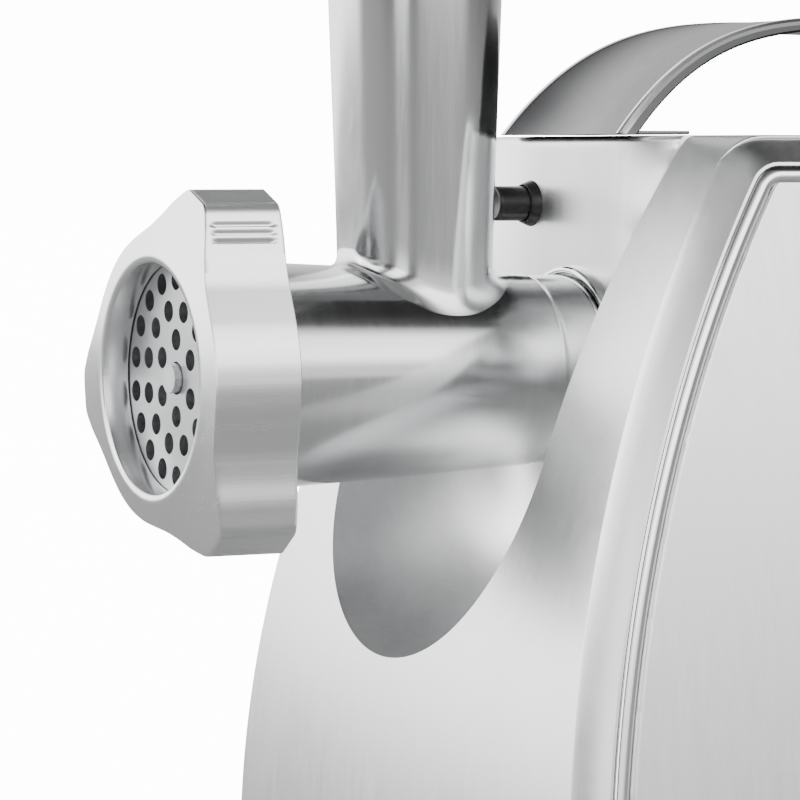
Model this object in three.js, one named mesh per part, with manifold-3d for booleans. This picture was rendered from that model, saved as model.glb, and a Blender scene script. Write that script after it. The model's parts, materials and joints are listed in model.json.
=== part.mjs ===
// Electric meat grinder with a bayonet head, three-winged ring nut, feed tube, tray and pusher.
// Millimetres, +Z up. The head points to -Y, and the whole stands on Z = 0.
// Inside the machine group, y is measured back from the ring nut's wings and z from the head's axis.
import * as THREE from 'three';
import { mergeVertices } from 'three/addons/utils/BufferGeometryUtils.js';
import Module from 'manifold-3d';

const wasm = await Module();
wasm.setup();

// ---- driving dimensions ----
const HEAD_HEIGHT = 165;          // head axis above the table
const GAP = 0.3;                  // left between pieces that touch
const ROUND = 20;                 // sides of a plain round piece

const BODY_TOP = 58;              // above the head axis
const BODY_BOTTOM = -159;
const BODY_MIDDLE = 190;          // the housing is alike in front of and behind this
const BULGE_HEIGHT = -125;        // height at which the front stands furthest forward
const BULGE_DEPTH = 61.8;         // y of the front corner line there
const FRONT_RADIUS = 315;         // curve of the front, seen from the side
const CROWN = 7;                  // how far the front stands out between its corners
const CORNER_RADIUS = 6.5;
const WALL = 3;
const TOP_EDGE_RADIUS = 5;

const PANEL_INSET = 12;           // side panel's edge, in from the front corner line
const PANEL_TOP = 49.5;
const BEAD_WIDTH = 5;
const BEAD_PROUD = 0.8;

const POCKET_WALL = 112;          // y of the wall that the head plugs into
const POCKET_RADIUS = 50;
const POCKET_CENTRE = -20;
const POCKET_TOP_HALF_WIDTH = 49;
const POCKET_BLEND = 26;

const BORE_RADIUS = 20.7;         // barrel bore
const MOUTH_RADIUS = 29.9;        // chamber that holds plate and knife
const PLATE_BACK = 10.5;          // rear face of the hole plate
const THREAD_RADIUS = 33;
const NECK_RADIUS = 23.5;
const SPIGOT_RADIUS = 20.5;       // part of the neck inside the socket
const LUG_ANGLE = 12;             // bayonet lug from +Z towards +X, locked
const TWIST = 30;                 // turn that frees the head
const TUBE_CENTRE = 68;           // y of the feed tube's axis
const TUBE_TOP = 125;

const RING_DEPTH = 19.8;
const RING_LIP = 3.6;             // how far the lip stands ahead of the wings
const RING_OPENING = 27.6;
const RING_RADIUS = 35.3;
const WING_RADIUS = 47.7;
const WING_HALF_WIDTH = 4.2;
const FIRST_WING = 23.5;          // degrees from +Z towards +X

const TRAY_FLOOR = TUBE_TOP + GAP;
const TRAY_HEIGHT = 30;
const TRAY_HALF_LENGTH = 110;
const TRAY_HALF_WIDTH = 56;
const TRAY_WALL = 2;

const LAY_AXIS = -45;             // heights of the two lower shafts
const MOTOR_AXIS = -75;
const OUTPUT_TEETH = 36;
const LAY_TEETH = 36;
const PINION_TEETH = 12;
const OUTPUT_MODULE = 1.875;
const MOTOR_MODULE = 1.25;

// ---- finishes ----
function finish(color, roughness, metalness) {
  return new THREE.MeshStandardMaterial({ color, roughness, metalness });
}
const BRUSHED = finish(0xc4c6c8, 0.34, 1);
const POLISHED = finish(0xd2d4d6, 0.18, 1);
const CAST = finish(0xb4b6b8, 0.3, 1);
const STEEL = finish(0x9fa2a6, 0.35, 1);
const BLACK = finish(0x17181a, 0.45, 0);
const RUBBER = finish(0x242424, 0.85, 0);
const GREY_PLASTIC = finish(0x6b6e72, 0.5, 0);
const COPPER = finish(0xb06a3a, 0.4, 1);
const BRASS = finish(0xc9a64f, 0.35, 1);

// ---- shape helpers ----
function hasThreeCorners(a, b, c) {
  return a !== b && b !== c && a !== c;
}

function solid(geometry) {
  const bare = geometry.index ? geometry.toNonIndexed() : geometry.clone();
  bare.deleteAttribute('normal');
  bare.deleteAttribute('uv');
  const merged = mergeVertices(bare, 1e-4);
  const index = merged.index.array;
  const faces = [];
  for (let i = 0; i < index.length; i += 3) {
    const face = [index[i], index[i + 1], index[i + 2]];
    if (hasThreeCorners(...face)) faces.push(...face);
  }
  const points = merged.attributes.position;
  const corner = (k) => new THREE.Vector3().fromBufferAttribute(points, k);
  let volume = 0;
  for (let i = 0; i < faces.length; i += 3) {
    volume += corner(faces[i]).dot(corner(faces[i + 1]).cross(corner(faces[i + 2])));
  }
  const triVerts = new Uint32Array(volume < 0 ? faces.toReversed() : faces);
  return new wasm.Manifold(new wasm.Mesh({ numProp: 3, vertProperties: points.array, triVerts }));
}

function geometryOf(body) {
  const mesh = body.getMesh();
  const geometry = new THREE.BufferGeometry();
  geometry.setAttribute('position', new THREE.BufferAttribute(mesh.vertProperties, 3));
  geometry.setIndex(new THREE.BufferAttribute(mesh.triVerts, 1));
  geometry.computeVertexNormals();
  return geometry;
}

function box(x0, x1, y0, y1, z0, z1) {
  const geometry = new THREE.BoxGeometry(x1 - x0, y1 - y0, z1 - z0);
  return solid(geometry.translate((x0 + x1) / 2, (y0 + y1) / 2, (z0 + z1) / 2));
}

function extrude(shape, depth, curve = 6) {
  return new THREE.ExtrudeGeometry(shape, { depth, bevelEnabled: false, curveSegments: curve });
}

// An outline drawn in x and z, taken from y0 to y1.
function extrudeY(shape, y0, y1, curve) {
  return solid(extrude(shape, y1 - y0, curve).rotateX(Math.PI / 2).translate(0, y1, 0));
}

// An outline drawn in y and z, taken from x0 to x1.
function extrudeX(shape, x0, x1, curve) {
  const turn = new THREE.Matrix4().makeBasis(
    new THREE.Vector3(0, 1, 0), new THREE.Vector3(0, 0, 1), new THREE.Vector3(1, 0, 0));
  return solid(extrude(shape, x1 - x0, curve).applyMatrix4(turn).translate(x0, 0, 0));
}

// An outline drawn in x and y, taken from z0 to z1.
function extrudeZ(shape, z0, z1, curve) {
  return solid(extrude(shape, z1 - z0, curve).translate(0, 0, z0));
}

// Profiles are lists of [radius, distance along the axis].
function latheGeometry(profile, sides) {
  return new THREE.LatheGeometry(profile.map(([r, h]) => new THREE.Vector2(r, h)), sides);
}
function latheY(profile, sides = ROUND) {
  return solid(latheGeometry(profile, sides));
}
function latheZ(profile, sides = ROUND) {
  return solid(latheGeometry(profile, sides).rotateX(Math.PI / 2));
}
function latheX(profile, sides = ROUND) {
  return solid(latheGeometry(profile, sides).rotateZ(-Math.PI / 2));
}

function rodProfile(radius, from, to) {
  return [[0, from], [radius, from], [radius, to], [0, to]];
}
function tubeProfile(inner, outer, from, to) {
  return [[inner, from], [outer, from], [outer, to], [inner, to], [inner, from]];
}

function shift(body, x, y, z) {
  return body.translate([x, y, z]);
}

// The largest of a body's separate lumps: crumbs that a shallow cut leaves are dropped.
function mainLump(body) {
  return body.decompose().reduce((best, lump) => (lump.volume() > best.volume() ? lump : best));
}

function roundedRectangle(cx, cy, halfX, halfY, r) {
  const shape = new THREE.Shape();
  shape.moveTo(cx - halfX + r, cy - halfY);
  shape.lineTo(cx + halfX - r, cy - halfY);
  shape.absarc(cx + halfX - r, cy - halfY + r, r, -Math.PI / 2, 0, false);
  shape.lineTo(cx + halfX, cy + halfY - r);
  shape.absarc(cx + halfX - r, cy + halfY - r, r, 0, Math.PI / 2, false);
  shape.lineTo(cx - halfX + r, cy + halfY);
  shape.absarc(cx - halfX + r, cy + halfY - r, r, Math.PI / 2, Math.PI, false);
  shape.lineTo(cx - halfX, cy - halfY + r);
  shape.absarc(cx - halfX + r, cy - halfY + r, r, Math.PI, Math.PI * 1.5, false);
  return shape;
}

// ---- the model and its pieces ----
const group = new THREE.Group();
const machine = new THREE.Group();
machine.position.set(0, -(2 * BODY_MIDDLE - BULGE_DEPTH + CROWN - RING_LIP) / 2, HEAD_HEIGHT);
group.add(machine);

function piece(name, body, material, at = [0, 0, 0]) {
  const mesh = new THREE.Mesh(geometryOf(body), material);
  mesh.name = name;
  mesh.position.set(...at);
  machine.add(mesh);
}

// ---- housing form ----
function frontLine(z) {
  const rise = z - BULGE_HEIGHT;
  return BULGE_DEPTH + FRONT_RADIUS - Math.sqrt(FRONT_RADIUS ** 2 - rise ** 2);
}

function sideHalfWidth(z) {
  return 73.4 - 0.169 * z - 0.00047 * z * z + CORNER_RADIUS;
}

// Level outline of the housing at height z, grown outwards by grow.
function planOutline(z, grow) {
  const w = sideHalfWidth(z) + grow;
  const front = frontLine(z) - grow;
  const rear = 2 * BODY_MIDDLE - front;
  const r = CORNER_RADIUS;
  const outline = new THREE.Shape();
  outline.moveTo(-w + r, front);
  outline.quadraticCurveTo(0, front - 2 * CROWN, w - r, front);
  outline.absarc(w - r, front + r, r, -Math.PI / 2, 0, false);
  outline.absarc(w - r, rear - r, r, 0, Math.PI / 2, false);
  outline.quadraticCurveTo(0, rear + 2 * CROWN, -w + r, rear);
  outline.absarc(-w + r, rear - r, r, Math.PI / 2, Math.PI, false);
  outline.absarc(-w + r, front + r, r, Math.PI, Math.PI * 1.5, false);
  return outline;
}

function ringAt(z, grow) {
  const points = [];
  for (const curve of planOutline(z, grow).curves) {
    const steps = curve instanceof THREE.EllipseCurve ? 2 : 6;
    if (curve instanceof THREE.LineCurve) continue;
    for (let i = 0; i <= steps; i++) {
      const p = curve.getPoint(i / steps);
      const last = points.at(-1);
      if (!last || Math.hypot(last.x - p.x, last.y - p.y) > 0.01) points.push(new THREE.Vector3(p.x, p.y, z));
    }
  }
  const first = points[0];
  const last = points.at(-1);
  if (Math.hypot(last.x - first.x, last.y - first.y) < 0.01) points.pop();
  return points;
}

// A solid skinned over level rings of equal count, closed flat at both ends.
function loft(rings) {
  const n = rings[0].length;
  const at = (ring, k) => ring * n + (k % n);
  const faces = [];
  for (let ring = 0; ring < rings.length - 1; ring++) {
    for (let k = 0; k < n; k++) {
      faces.push(at(ring, k), at(ring, k + 1), at(ring + 1, k + 1));
      faces.push(at(ring, k), at(ring + 1, k + 1), at(ring + 1, k));
    }
  }
  for (let k = 1; k < n - 1; k++) {
    faces.push(at(0, 0), at(0, k + 1), at(0, k));
    faces.push(at(rings.length - 1, 0), at(rings.length - 1, k), at(rings.length - 1, k + 1));
  }
  const geometry = new THREE.BufferGeometry().setFromPoints(rings.flat());
  geometry.setIndex(faces);
  return solid(geometry);
}

// The housing's outside, grown outwards by grow, or shrunk where grow is below 0.
function housingForm(grow, bottom = BODY_BOTTOM) {
  const rings = [];
  const shoulder = BODY_TOP - TOP_EDGE_RADIUS;
  const levels = 8;
  for (let i = 0; i <= levels; i++) {
    rings.push(ringAt(bottom + (shoulder - bottom) * i / levels, grow));
  }
  for (let i = 1; i <= 3; i++) {
    const a = (i / 3) * (Math.PI / 2);
    const inset = TOP_EDGE_RADIUS * (1 - Math.cos(a));
    rings.push(ringAt(shoulder + (TOP_EDGE_RADIUS + grow) * Math.sin(a), grow - inset));
  }
  return loft(rings);
}

// Arch seen from the side, inset from the front and rear corner lines.
function archOutline(inset, top, cornerRadius) {
  const r = FRONT_RADIUS - inset;
  const low = BODY_BOTTOM - 10;
  const edge = (z) => BULGE_DEPTH + FRONT_RADIUS - Math.sqrt(r ** 2 - (z - BULGE_HEIGHT) ** 2);
  const knee = top - cornerRadius;
  const shape = new THREE.Shape();
  const steps = 12;
  shape.moveTo(edge(low), low);
  for (let i = 1; i <= steps; i++) {
    const z = low + (knee - low) * i / steps;
    shape.lineTo(edge(z), z);
  }
  shape.quadraticCurveTo(edge(top), top, edge(top) + cornerRadius, top);
  shape.lineTo(2 * BODY_MIDDLE - edge(top) - cornerRadius, top);
  shape.quadraticCurveTo(2 * BODY_MIDDLE - edge(top), top, 2 * BODY_MIDDLE - edge(knee), knee);
  for (let i = steps - 1; i >= 0; i--) {
    const z = low + (knee - low) * i / steps;
    shape.lineTo(2 * BODY_MIDDLE - edge(z), z);
  }
  return shape;
}

// U-shaped outline of the front pocket, seen from the front, and grown by grow.
function pocketOutline(grow) {
  const r = POCKET_RADIUS + grow;
  const tilt = Math.atan2(POCKET_TOP_HALF_WIDTH - POCKET_RADIUS, BODY_TOP - POCKET_CENTRE);
  const above = BODY_TOP + 42;
  const topHalf = r / Math.cos(tilt) + (above - POCKET_CENTRE) * Math.tan(tilt);
  const shape = new THREE.Shape();
  shape.moveTo(topHalf, above);
  shape.lineTo(-topHalf, above);
  shape.absarc(0, POCKET_CENTRE, r, Math.PI + tilt, 2 * Math.PI - tilt, false);
  return shape;
}

// Everything that the pocket takes out of the front, with soft inner edges.
function pocketForm(grow) {
  const rear = POCKET_WALL + grow;
  const level = (inset, y) => pocketOutline(grow - inset).getPoints(8)
    .map((p) => new THREE.Vector3(p.x, y, p.y));
  const rings = [level(0, 0)];
  const steps = 4;
  for (let i = 0; i <= steps; i++) {
    const a = (i / steps) * (Math.PI / 2);
    rings.push(level(POCKET_BLEND * (1 - Math.cos(a)), rear - POCKET_BLEND * (1 - Math.sin(a))));
  }
  return loft(rings);
}

const outerForm = housingForm(0);
const innerForm = housingForm(-WALL, BODY_BOTTOM - 1);
const panelCut = archOutline(PANEL_INSET, PANEL_TOP, 8);
const beadCut = archOutline(PANEL_INSET - BEAD_WIDTH, PANEL_TOP + BEAD_WIDTH, 12);
const beadRoom = archOutline(PANEL_INSET - BEAD_WIDTH - GAP, PANEL_TOP + BEAD_WIDTH + GAP, 12);
const panelEdge = archOutline(PANEL_INSET + GAP, PANEL_TOP - GAP, 8);

// ---- side controls, on the left ----
const CONTROL_Y = 190;
const CONTROL_Z = -88;
const CONTROL_FACE = -93.5;
const CONTROL_BACK = -83;
const POWER_Y = 178;
const REVERSE_Y = 207;

function controlOutline(grow) {
  return roundedRectangle(CONTROL_Y, CONTROL_Z, 32 + grow, 17 + grow, 14 + grow);
}

function roundX(radius, x0, x1, y, z) {
  return shift(latheX(rodProfile(radius, x0, x1), 24), 0, y, z);
}

function addControls() {
  const bezel = extrudeX(controlOutline(0), CONTROL_FACE, CONTROL_BACK, 4)
    .subtract(roundX(10.4, CONTROL_FACE - 1, CONTROL_BACK + 1, POWER_Y, CONTROL_Z))
    .subtract(roundX(7.4, CONTROL_FACE - 1, CONTROL_BACK + 1, REVERSE_Y, CONTROL_Z));
  piece('control_bezel', bezel, BLACK);
  piece('power_button', latheX(rodProfile(10, -12.5, 0), 24), BRUSHED, [-84, POWER_Y, CONTROL_Z]);
  piece('reverse_button', latheX(rodProfile(7, -12.5, 0), 20), BLACK, [-84, REVERSE_Y, CONTROL_Z]);
  piece('switch_block', box(-81.5, -66, 168, 216, -101, -75), GREY_PLASTIC);
}

// ---- housing pieces ----
const BUTTON_X = -20;
const BUTTON_Z = 41;
const BUTTON_RADIUS = 4.1;
const HANDLE_BOLT_X = 17;
const HANDLE_BOLT_Y = 124;

function handleBoltSpots() {
  const spots = [];
  for (const x of [-HANDLE_BOLT_X, HANDLE_BOLT_X]) {
    for (const y of [HANDLE_BOLT_Y, 2 * BODY_MIDDLE - HANDLE_BOLT_Y]) spots.push([x, y]);
  }
  return spots;
}

function addHousing() {
  const walls = outerForm.subtract(innerForm);
  const pocketSkin = outerForm.intersect(pocketForm(WALL));
  const side = (x0, x1, cut) => extrudeX(cut, x0, x1);
  let shell = walls.add(pocketSkin).subtract(pocketForm(0));
  const core = housingForm(-WALL - GAP, BODY_BOTTOM - 30);
  shell = shell.subtract(side(50, 120, beadRoom).subtract(core));
  shell = shell.subtract(side(-120, -50, beadRoom).subtract(core));
  shell = shell.subtract(latheY(rodProfile(25.8, 100, 125), 28));
  shell = shell.subtract(shift(latheY(rodProfile(BUTTON_RADIUS + 0.5, 100, 125), 20), BUTTON_X, 0, BUTTON_Z));
  for (const [x, y] of handleBoltSpots()) {
    shell = shell.subtract(shift(latheZ(rodProfile(2.8, 40, 70), 12), x, y, 0));
  }
  for (let i = 0; i < 6; i++) {
    shell = shell.subtract(box(-34, 34, 290, 340, -92 + i * 11, -88 + i * 11));
  }
  shell = shell.subtract(shift(latheY(rodProfile(8.3, 300, 340), 20), 0, 0, -135));
  const split = BODY_MIDDLE;
  piece('front_shell', mainLump(shell.intersect(box(-130, 130, 0, split - GAP / 2, -200, 100))), BRUSHED);
  piece('rear_shell', mainLump(shell.intersect(box(-130, 130, split + GAP / 2, 400, -200, 100))), BRUSHED);
  const right = walls.intersect(side(50, 120, panelEdge));
  const left = walls.intersect(side(-120, -50, panelEdge));
  const controlHole = extrudeX(controlOutline(GAP), -120, -50, 4);
  piece('side_panel_right', right, BRUSHED);
  piece('side_panel_left', left.subtract(controlHole), BRUSHED);
  const proud = housingForm(BEAD_PROUD).subtract(innerForm);
  const rightBand = side(50, 120, beadCut).subtract(side(49, 121, panelCut));
  const leftBand = side(-120, -50, beadCut).subtract(side(-121, -49, panelCut));
  piece('edge_bead_right', proud.intersect(rightBand), POLISHED);
  piece('edge_bead_left', proud.intersect(leftBand), POLISHED);
}

function addBase() {
  const floor = loft([ringAt(BODY_BOTTOM, -WALL - GAP), ringAt(BODY_BOTTOM + 4, -WALL - GAP - 0.3)]);
  let plate = floor;
  for (let i = 0; i < 7; i++) plate = plate.subtract(box(-30, 30, 216 + i * 9, 220 + i * 9, -170, -150));
  const corners = [];
  for (const x of [-66, 66]) {
    corners.push([x, 90], [x, 290]);
  }
  piece('base_plate', plate, GREY_PLASTIC);
  const foot = latheZ([[0, -5.7], [9.5, -5.7], [11, 0], [0, 0]], 20)
    .subtract(latheZ(rodProfile(5.5, -6.6, -3), 16));
  corners.forEach(([x, y], i) => {
    piece(`foot_${i + 1}`, foot, RUBBER, [x, y, BODY_BOTTOM - GAP]);
  });
}

// ---- carry handle: a bent strap along the middle of the top ----
const HANDLE_THICK = 3;
const HANDLE_RISE = 30;
const HANDLE_FOOT = 111;

function handleHeight(y) {
  const span = BODY_MIDDLE - HANDLE_FOOT;
  const t = Math.min(1, Math.abs(y - BODY_MIDDLE) / span);
  return BODY_TOP + GAP + HANDLE_THICK + (HANDLE_RISE - HANDLE_THICK - GAP) * (1 - t ** 3.4);
}

function addHandle() {
  const steps = 28;
  const spots = [];
  for (let i = 0; i <= steps; i++) {
    const c = Math.cos(Math.PI * i / steps);
    spots.push(BODY_MIDDLE - (BODY_MIDDLE - HANDLE_FOOT) * c);
  }
  const shape = new THREE.Shape();
  shape.moveTo(spots[0], BODY_TOP + GAP);
  for (const y of spots) shape.lineTo(y, handleHeight(y));
  shape.lineTo(spots.at(-1), BODY_TOP + GAP);
  shape.lineTo(spots.at(-1) - 20, BODY_TOP + GAP);
  shape.lineTo(spots.at(-1) - 20, BODY_TOP + GAP + 2.5);
  for (const y of spots.toReversed()) {
    const inner = handleHeight(y) - HANDLE_THICK - 1.2 * Math.abs(y - BODY_MIDDLE) / 79;
    if (inner > BODY_TOP + GAP + 3 && Math.abs(y - BODY_MIDDLE) < 68) shape.lineTo(y, inner);
  }
  shape.lineTo(spots[0] + 20, BODY_TOP + GAP + 2.5);
  shape.lineTo(spots[0] + 20, BODY_TOP + GAP);
  const top = new THREE.Shape();
  top.moveTo(-30, 100);
  top.lineTo(30, 100);
  top.quadraticCurveTo(22, BODY_MIDDLE, 30, 280);
  top.lineTo(-30, 280);
  top.quadraticCurveTo(-22, BODY_MIDDLE, -30, 100);
  const strap = extrudeX(shape, -31, 31).intersect(extrudeZ(top, 40, 110, 8));
  piece('carry_handle', strap, BRUSHED);
  const bolt = latheZ([[0, -8], [4.2, -8], [4.2, -3.6], [2.5, -3.6], [2.5, 0], [0, 0]], 12);
  handleBoltSpots().forEach(([x, y], i) => piece(`handle_bolt_${i + 1}`, bolt, STEEL, [x, y, BODY_TOP]));
}

// ---- socket in the pocket's wall ----
function addSocket() {
  piece('port_collar', latheY(tubeProfile(23.8, 25.5, 109.8, 114.7), 28), POLISHED);
  const slot = (angle) => box(-6, 6, 114, 119, 0, 23.8).rotate([0, angle, 0]);
  let socket = latheY([[21, 115.4], [34, 115.4], [34, 127], [21, 127], [21, 124.5], [23.9, 124.5],
    [23.9, 118], [21, 118], [21, 115.4]]);
  socket = socket.subtract(slot(LUG_ANGLE + TWIST)).subtract(slot(LUG_ANGLE + TWIST + 180));
  piece('bayonet_socket', socket, STEEL);
}

// ---- release button, latch pin and spring ----
class Coil extends THREE.Curve {
  constructor(radius, from, to, turns) {
    super();
    Object.assign(this, { radius, from, to, turns });
  }

  getPoint(t, target = new THREE.Vector3()) {
    const a = t * this.turns * 2 * Math.PI;
    const y = this.from + (this.to - this.from) * t;
    return target.set(this.radius * Math.cos(a), y, this.radius * Math.sin(a));
  }
}

function addRelease() {
  const button = latheY([[0, 101], [3.4, 101], [BUTTON_RADIUS, 101.8], [BUTTON_RADIUS, 118], [0, 118]], 20);
  const pin = latheY([[0, 118.3], [5.6, 118.3], [5.6, 120.3], [2.2, 120.3], [2.2, 131.4], [0, 131.4]], 12);
  const guide = box(-9, 9, 128.2, 131.2, -8, 8).subtract(latheY(rodProfile(2.6, 120, 140), 16));
  const wire = new THREE.Shape().absarc(0, 0, 0.45, 0, 2 * Math.PI);
  const spring = new THREE.ExtrudeGeometry(wire, {
    steps: 28, curveSegments: 2, bevelEnabled: false, extrudePath: new Coil(3.6, 121.1, 127.2, 3),
  });
  const at = [BUTTON_X, 0, BUTTON_Z];
  piece('release_button', button, BLACK, at);
  piece('latch_pin', pin, STEEL, at);
  piece('latch_guide', guide, STEEL, at);
  piece('latch_spring', solid(spring), STEEL, at);
}

// ---- head: barrel and feed tube ----
function barrelOutside(grow) {
  return latheY([
    [0, 3.5 - grow], [THREAD_RADIUS + grow, 3.5 - grow], [THREAD_RADIUS + grow, 17.2], [27.4 + grow, 19.5],
    [23.9 + grow, 97], [NECK_RADIUS + grow, 98.2], [NECK_RADIUS + grow, POCKET_WALL],
    [SPIGOT_RADIUS + grow, POCKET_WALL + 0.5], [SPIGOT_RADIUS + grow, 127 + grow], [0, 127 + grow],
  ], 28);
}

function tubeOutside() {
  return shift(latheZ([[0, 15], [18.6, 15], [19, 26], [21.1, 90], [22.2, TUBE_TOP], [0, TUBE_TOP]], 24),
    0, TUBE_CENTRE, 0);
}

function tubeBore() {
  const profile = [[0, 0], [16.4, 0], [16.6, 26], [18.4, 90], [19.4, 130], [0, 130]];
  return shift(latheZ(profile, 24), 0, TUBE_CENTRE, 0);
}

function addHead() {
  let barrel = barrelOutside(0);
  barrel = barrel.subtract(latheY([[0, 0], [MOUTH_RADIUS, 0], [MOUTH_RADIUS, 15.2], [BORE_RADIUS, 15.2],
    [BORE_RADIUS, 104], [12.6, 104], [12.6, 130], [0, 130]], 28));
  barrel = barrel.subtract(tubeBore());
  const lug = box(-5, 5, 118.6, 123.8, 19.5, 22.7);
  barrel = barrel.add(lug.rotate([0, LUG_ANGLE, 0])).add(lug.rotate([0, LUG_ANGLE + 180, 0]));
  barrel = barrel.add(box(-1.8, 1.8, 3.5, PLATE_BACK, -31, -28));
  piece('head_barrel', barrel, CAST);
  piece('feed_tube', tubeOutside().subtract(tubeBore()).subtract(barrelOutside(GAP)), CAST);
  piece('auger_bush', latheY(tubeProfile(8.8, 12.3, 105, 126.5)), BRASS);
}

// ---- auger, knife and hole plate ----
function addAuger() {
  const reach = 20.2;
  const flight = new THREE.Shape();
  const half = 0.42;
  flight.absarc(0, 0, 7.6, half * 1.6, 2 * Math.PI - half * 1.6, false);
  flight.lineTo(reach * Math.cos(-half), reach * Math.sin(-half));
  flight.absarc(0, 0, reach, -half, half, false);
  const from = 20;
  const length = 83;
  const steps = 24;
  const turns = 3;
  const settings = { depth: length, steps, bevelEnabled: false, curveSegments: 2 };
  const geometry = new THREE.ExtrudeGeometry(flight, settings);
  const points = geometry.attributes.position;
  for (let i = 0; i < points.count; i++) {
    const a = (points.getZ(i) / length) * turns * 2 * Math.PI;
    const x = points.getX(i) * Math.cos(a) - points.getY(i) * Math.sin(a);
    const y = points.getX(i) * Math.sin(a) + points.getY(i) * Math.cos(a);
    points.setXY(i, x, y);
  }
  const screw = solid(geometry.rotateX(Math.PI / 2).translate(0, from + length, 0));
  const spindle = latheY([[0, 1.5], [3.6, 1.5], [3.6, 11], [6, 11], [6, 21], [7.5, 24], [7.5, 99], [8.5, 103],
    [8.5, 128], [0, 128]], 12);
  const key = box(-4.6, 4.6, 116, 130, -4.6, 4.6);
  piece('auger', screw.add(spindle).subtract(key), CAST);
}

function addKnife() {
  let knife = latheY(tubeProfile(6.3, 10.5, 10.9, 15), 16);
  for (let i = 0; i < 4; i++) {
    const blade = new THREE.Shape();
    blade.moveTo(-3.6, 8);
    blade.lineTo(3.4, 8);
    blade.quadraticCurveTo(5.5, 18, 2.5, 28);
    blade.lineTo(-3.4, 27.6);
    blade.quadraticCurveTo(-1, 18, -3.6, 8);
    knife = knife.add(extrudeY(blade, 10.9, 13.9, 4).rotate([0, i * 90, 0]));
  }
  piece('knife', knife, POLISHED);
}

function addHolePlate() {
  let plate = latheY(tubeProfile(4, 29.5, 3.5, PLATE_BACK), 36);
  for (const [count, radius] of [[6, 9.2], [12, 16.4], [18, 23.6]]) {
    for (let i = 0; i < count; i++) {
      const a = 2 * Math.PI * (i + 0.5) / count;
      const hole = latheY(rodProfile(2.6, 0, 14), 6);
      plate = plate.subtract(shift(hole, radius * Math.cos(a), 0, radius * Math.sin(a)));
    }
  }
  plate = plate.subtract(box(-2.2, 2.2, 0, 14, -32, -27.2));
  piece('hole_plate', plate, STEEL);
}

// ---- ring nut with three wings ----
function ringOutline() {
  const shape = new THREE.Shape();
  const spot = (radius, degrees) => {
    const a = THREE.MathUtils.degToRad(degrees);
    return [radius * Math.sin(a), radius * Math.cos(a)];
  };
  const tip = THREE.MathUtils.radToDeg(Math.asin(WING_HALF_WIDTH / WING_RADIUS));
  shape.moveTo(...spot(RING_RADIUS, FIRST_WING - 60));
  for (let i = 0; i < 3; i++) {
    const middle = FIRST_WING + 120 * i;
    shape.lineTo(...spot(RING_RADIUS, middle - 45));
    const rise = spot(RING_RADIUS + 0.6, middle - 25);
    shape.quadraticCurveTo(...rise, ...spot(WING_RADIUS - 1, middle - tip - 2.6));
    shape.lineTo(...spot(WING_RADIUS, middle - tip));
    shape.lineTo(...spot(WING_RADIUS, middle + tip));
    shape.lineTo(...spot(WING_RADIUS - 1, middle + tip + 2.6));
    shape.quadraticCurveTo(...spot(RING_RADIUS + 0.6, middle + 25), ...spot(RING_RADIUS, middle + 45));
    shape.lineTo(...spot(RING_RADIUS, middle + 52));
    shape.lineTo(...spot(RING_RADIUS, middle + 60));
  }
  return shape;
}

function addRingNut() {
  const flare = [[0, -RING_LIP], [29.8, -RING_LIP], [48.5, 0.2], [48.5, RING_DEPTH], [0, RING_DEPTH]];
  const cone = latheY(flare, 36);
  const hole = latheY([[0, -6], [RING_OPENING, -6], [RING_OPENING, 3.2], [THREAD_RADIUS + 0.4, 3.2],
    [THREAD_RADIUS + 0.4, 30], [0, 30]], 36);
  const ring = extrudeY(ringOutline(), -RING_LIP, RING_DEPTH, 6).intersect(cone).subtract(hole);
  piece('ring_nut', ring, BRUSHED);
}

// ---- tray and pusher ----
function addTray() {
  const at = (z, half) => {
    const shape = roundedRectangle(0, TUBE_CENTRE, TRAY_HALF_LENGTH - half, TRAY_HALF_WIDTH - half, 30);
    return shape.getPoints(4).slice(0, -1).map((p) => new THREE.Vector3(p.x, p.y, z));
  };
  const rim = TRAY_FLOOR + TRAY_HEIGHT;
  let tray = loft([at(TRAY_FLOOR, 14), at(TRAY_FLOOR + 8, 8), at(rim - 3, 4), at(rim - 2.8, 0), at(rim, 0)]);
  const dish = loft([at(TRAY_FLOOR + TRAY_WALL, 14 + TRAY_WALL), at(TRAY_FLOOR + 8, 8 + TRAY_WALL),
    at(rim + 1, 4 + TRAY_WALL)]);
  tray = tray.subtract(dish);
  const collar = shift(latheZ(tubeProfile(22.9, 25.6, 108, TRAY_FLOOR + 1), 24), 0, TUBE_CENTRE, 0);
  const throat = shift(latheZ(rodProfile(19.6, 100, 150), 24), 0, TUBE_CENTRE, 0);
  piece('tray', tray.add(collar).subtract(throat), BRUSHED);
}

function addPusher() {
  const floor = TRAY_FLOOR + TRAY_WALL + GAP;
  const pusher = latheZ([[0, 66], [14.5, 66], [16, 68], [16.2, floor], [24, floor], [25, floor + 2],
    [24, floor + 5], [12, floor + 8], [11, floor + 22], [14, floor + 40], [20, floor + 46], [22, floor + 50],
    [18, floor + 54], [0, floor + 55]], 20);
  piece('pusher', pusher, BLACK, [0, TUBE_CENTRE, 0]);
}

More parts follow.
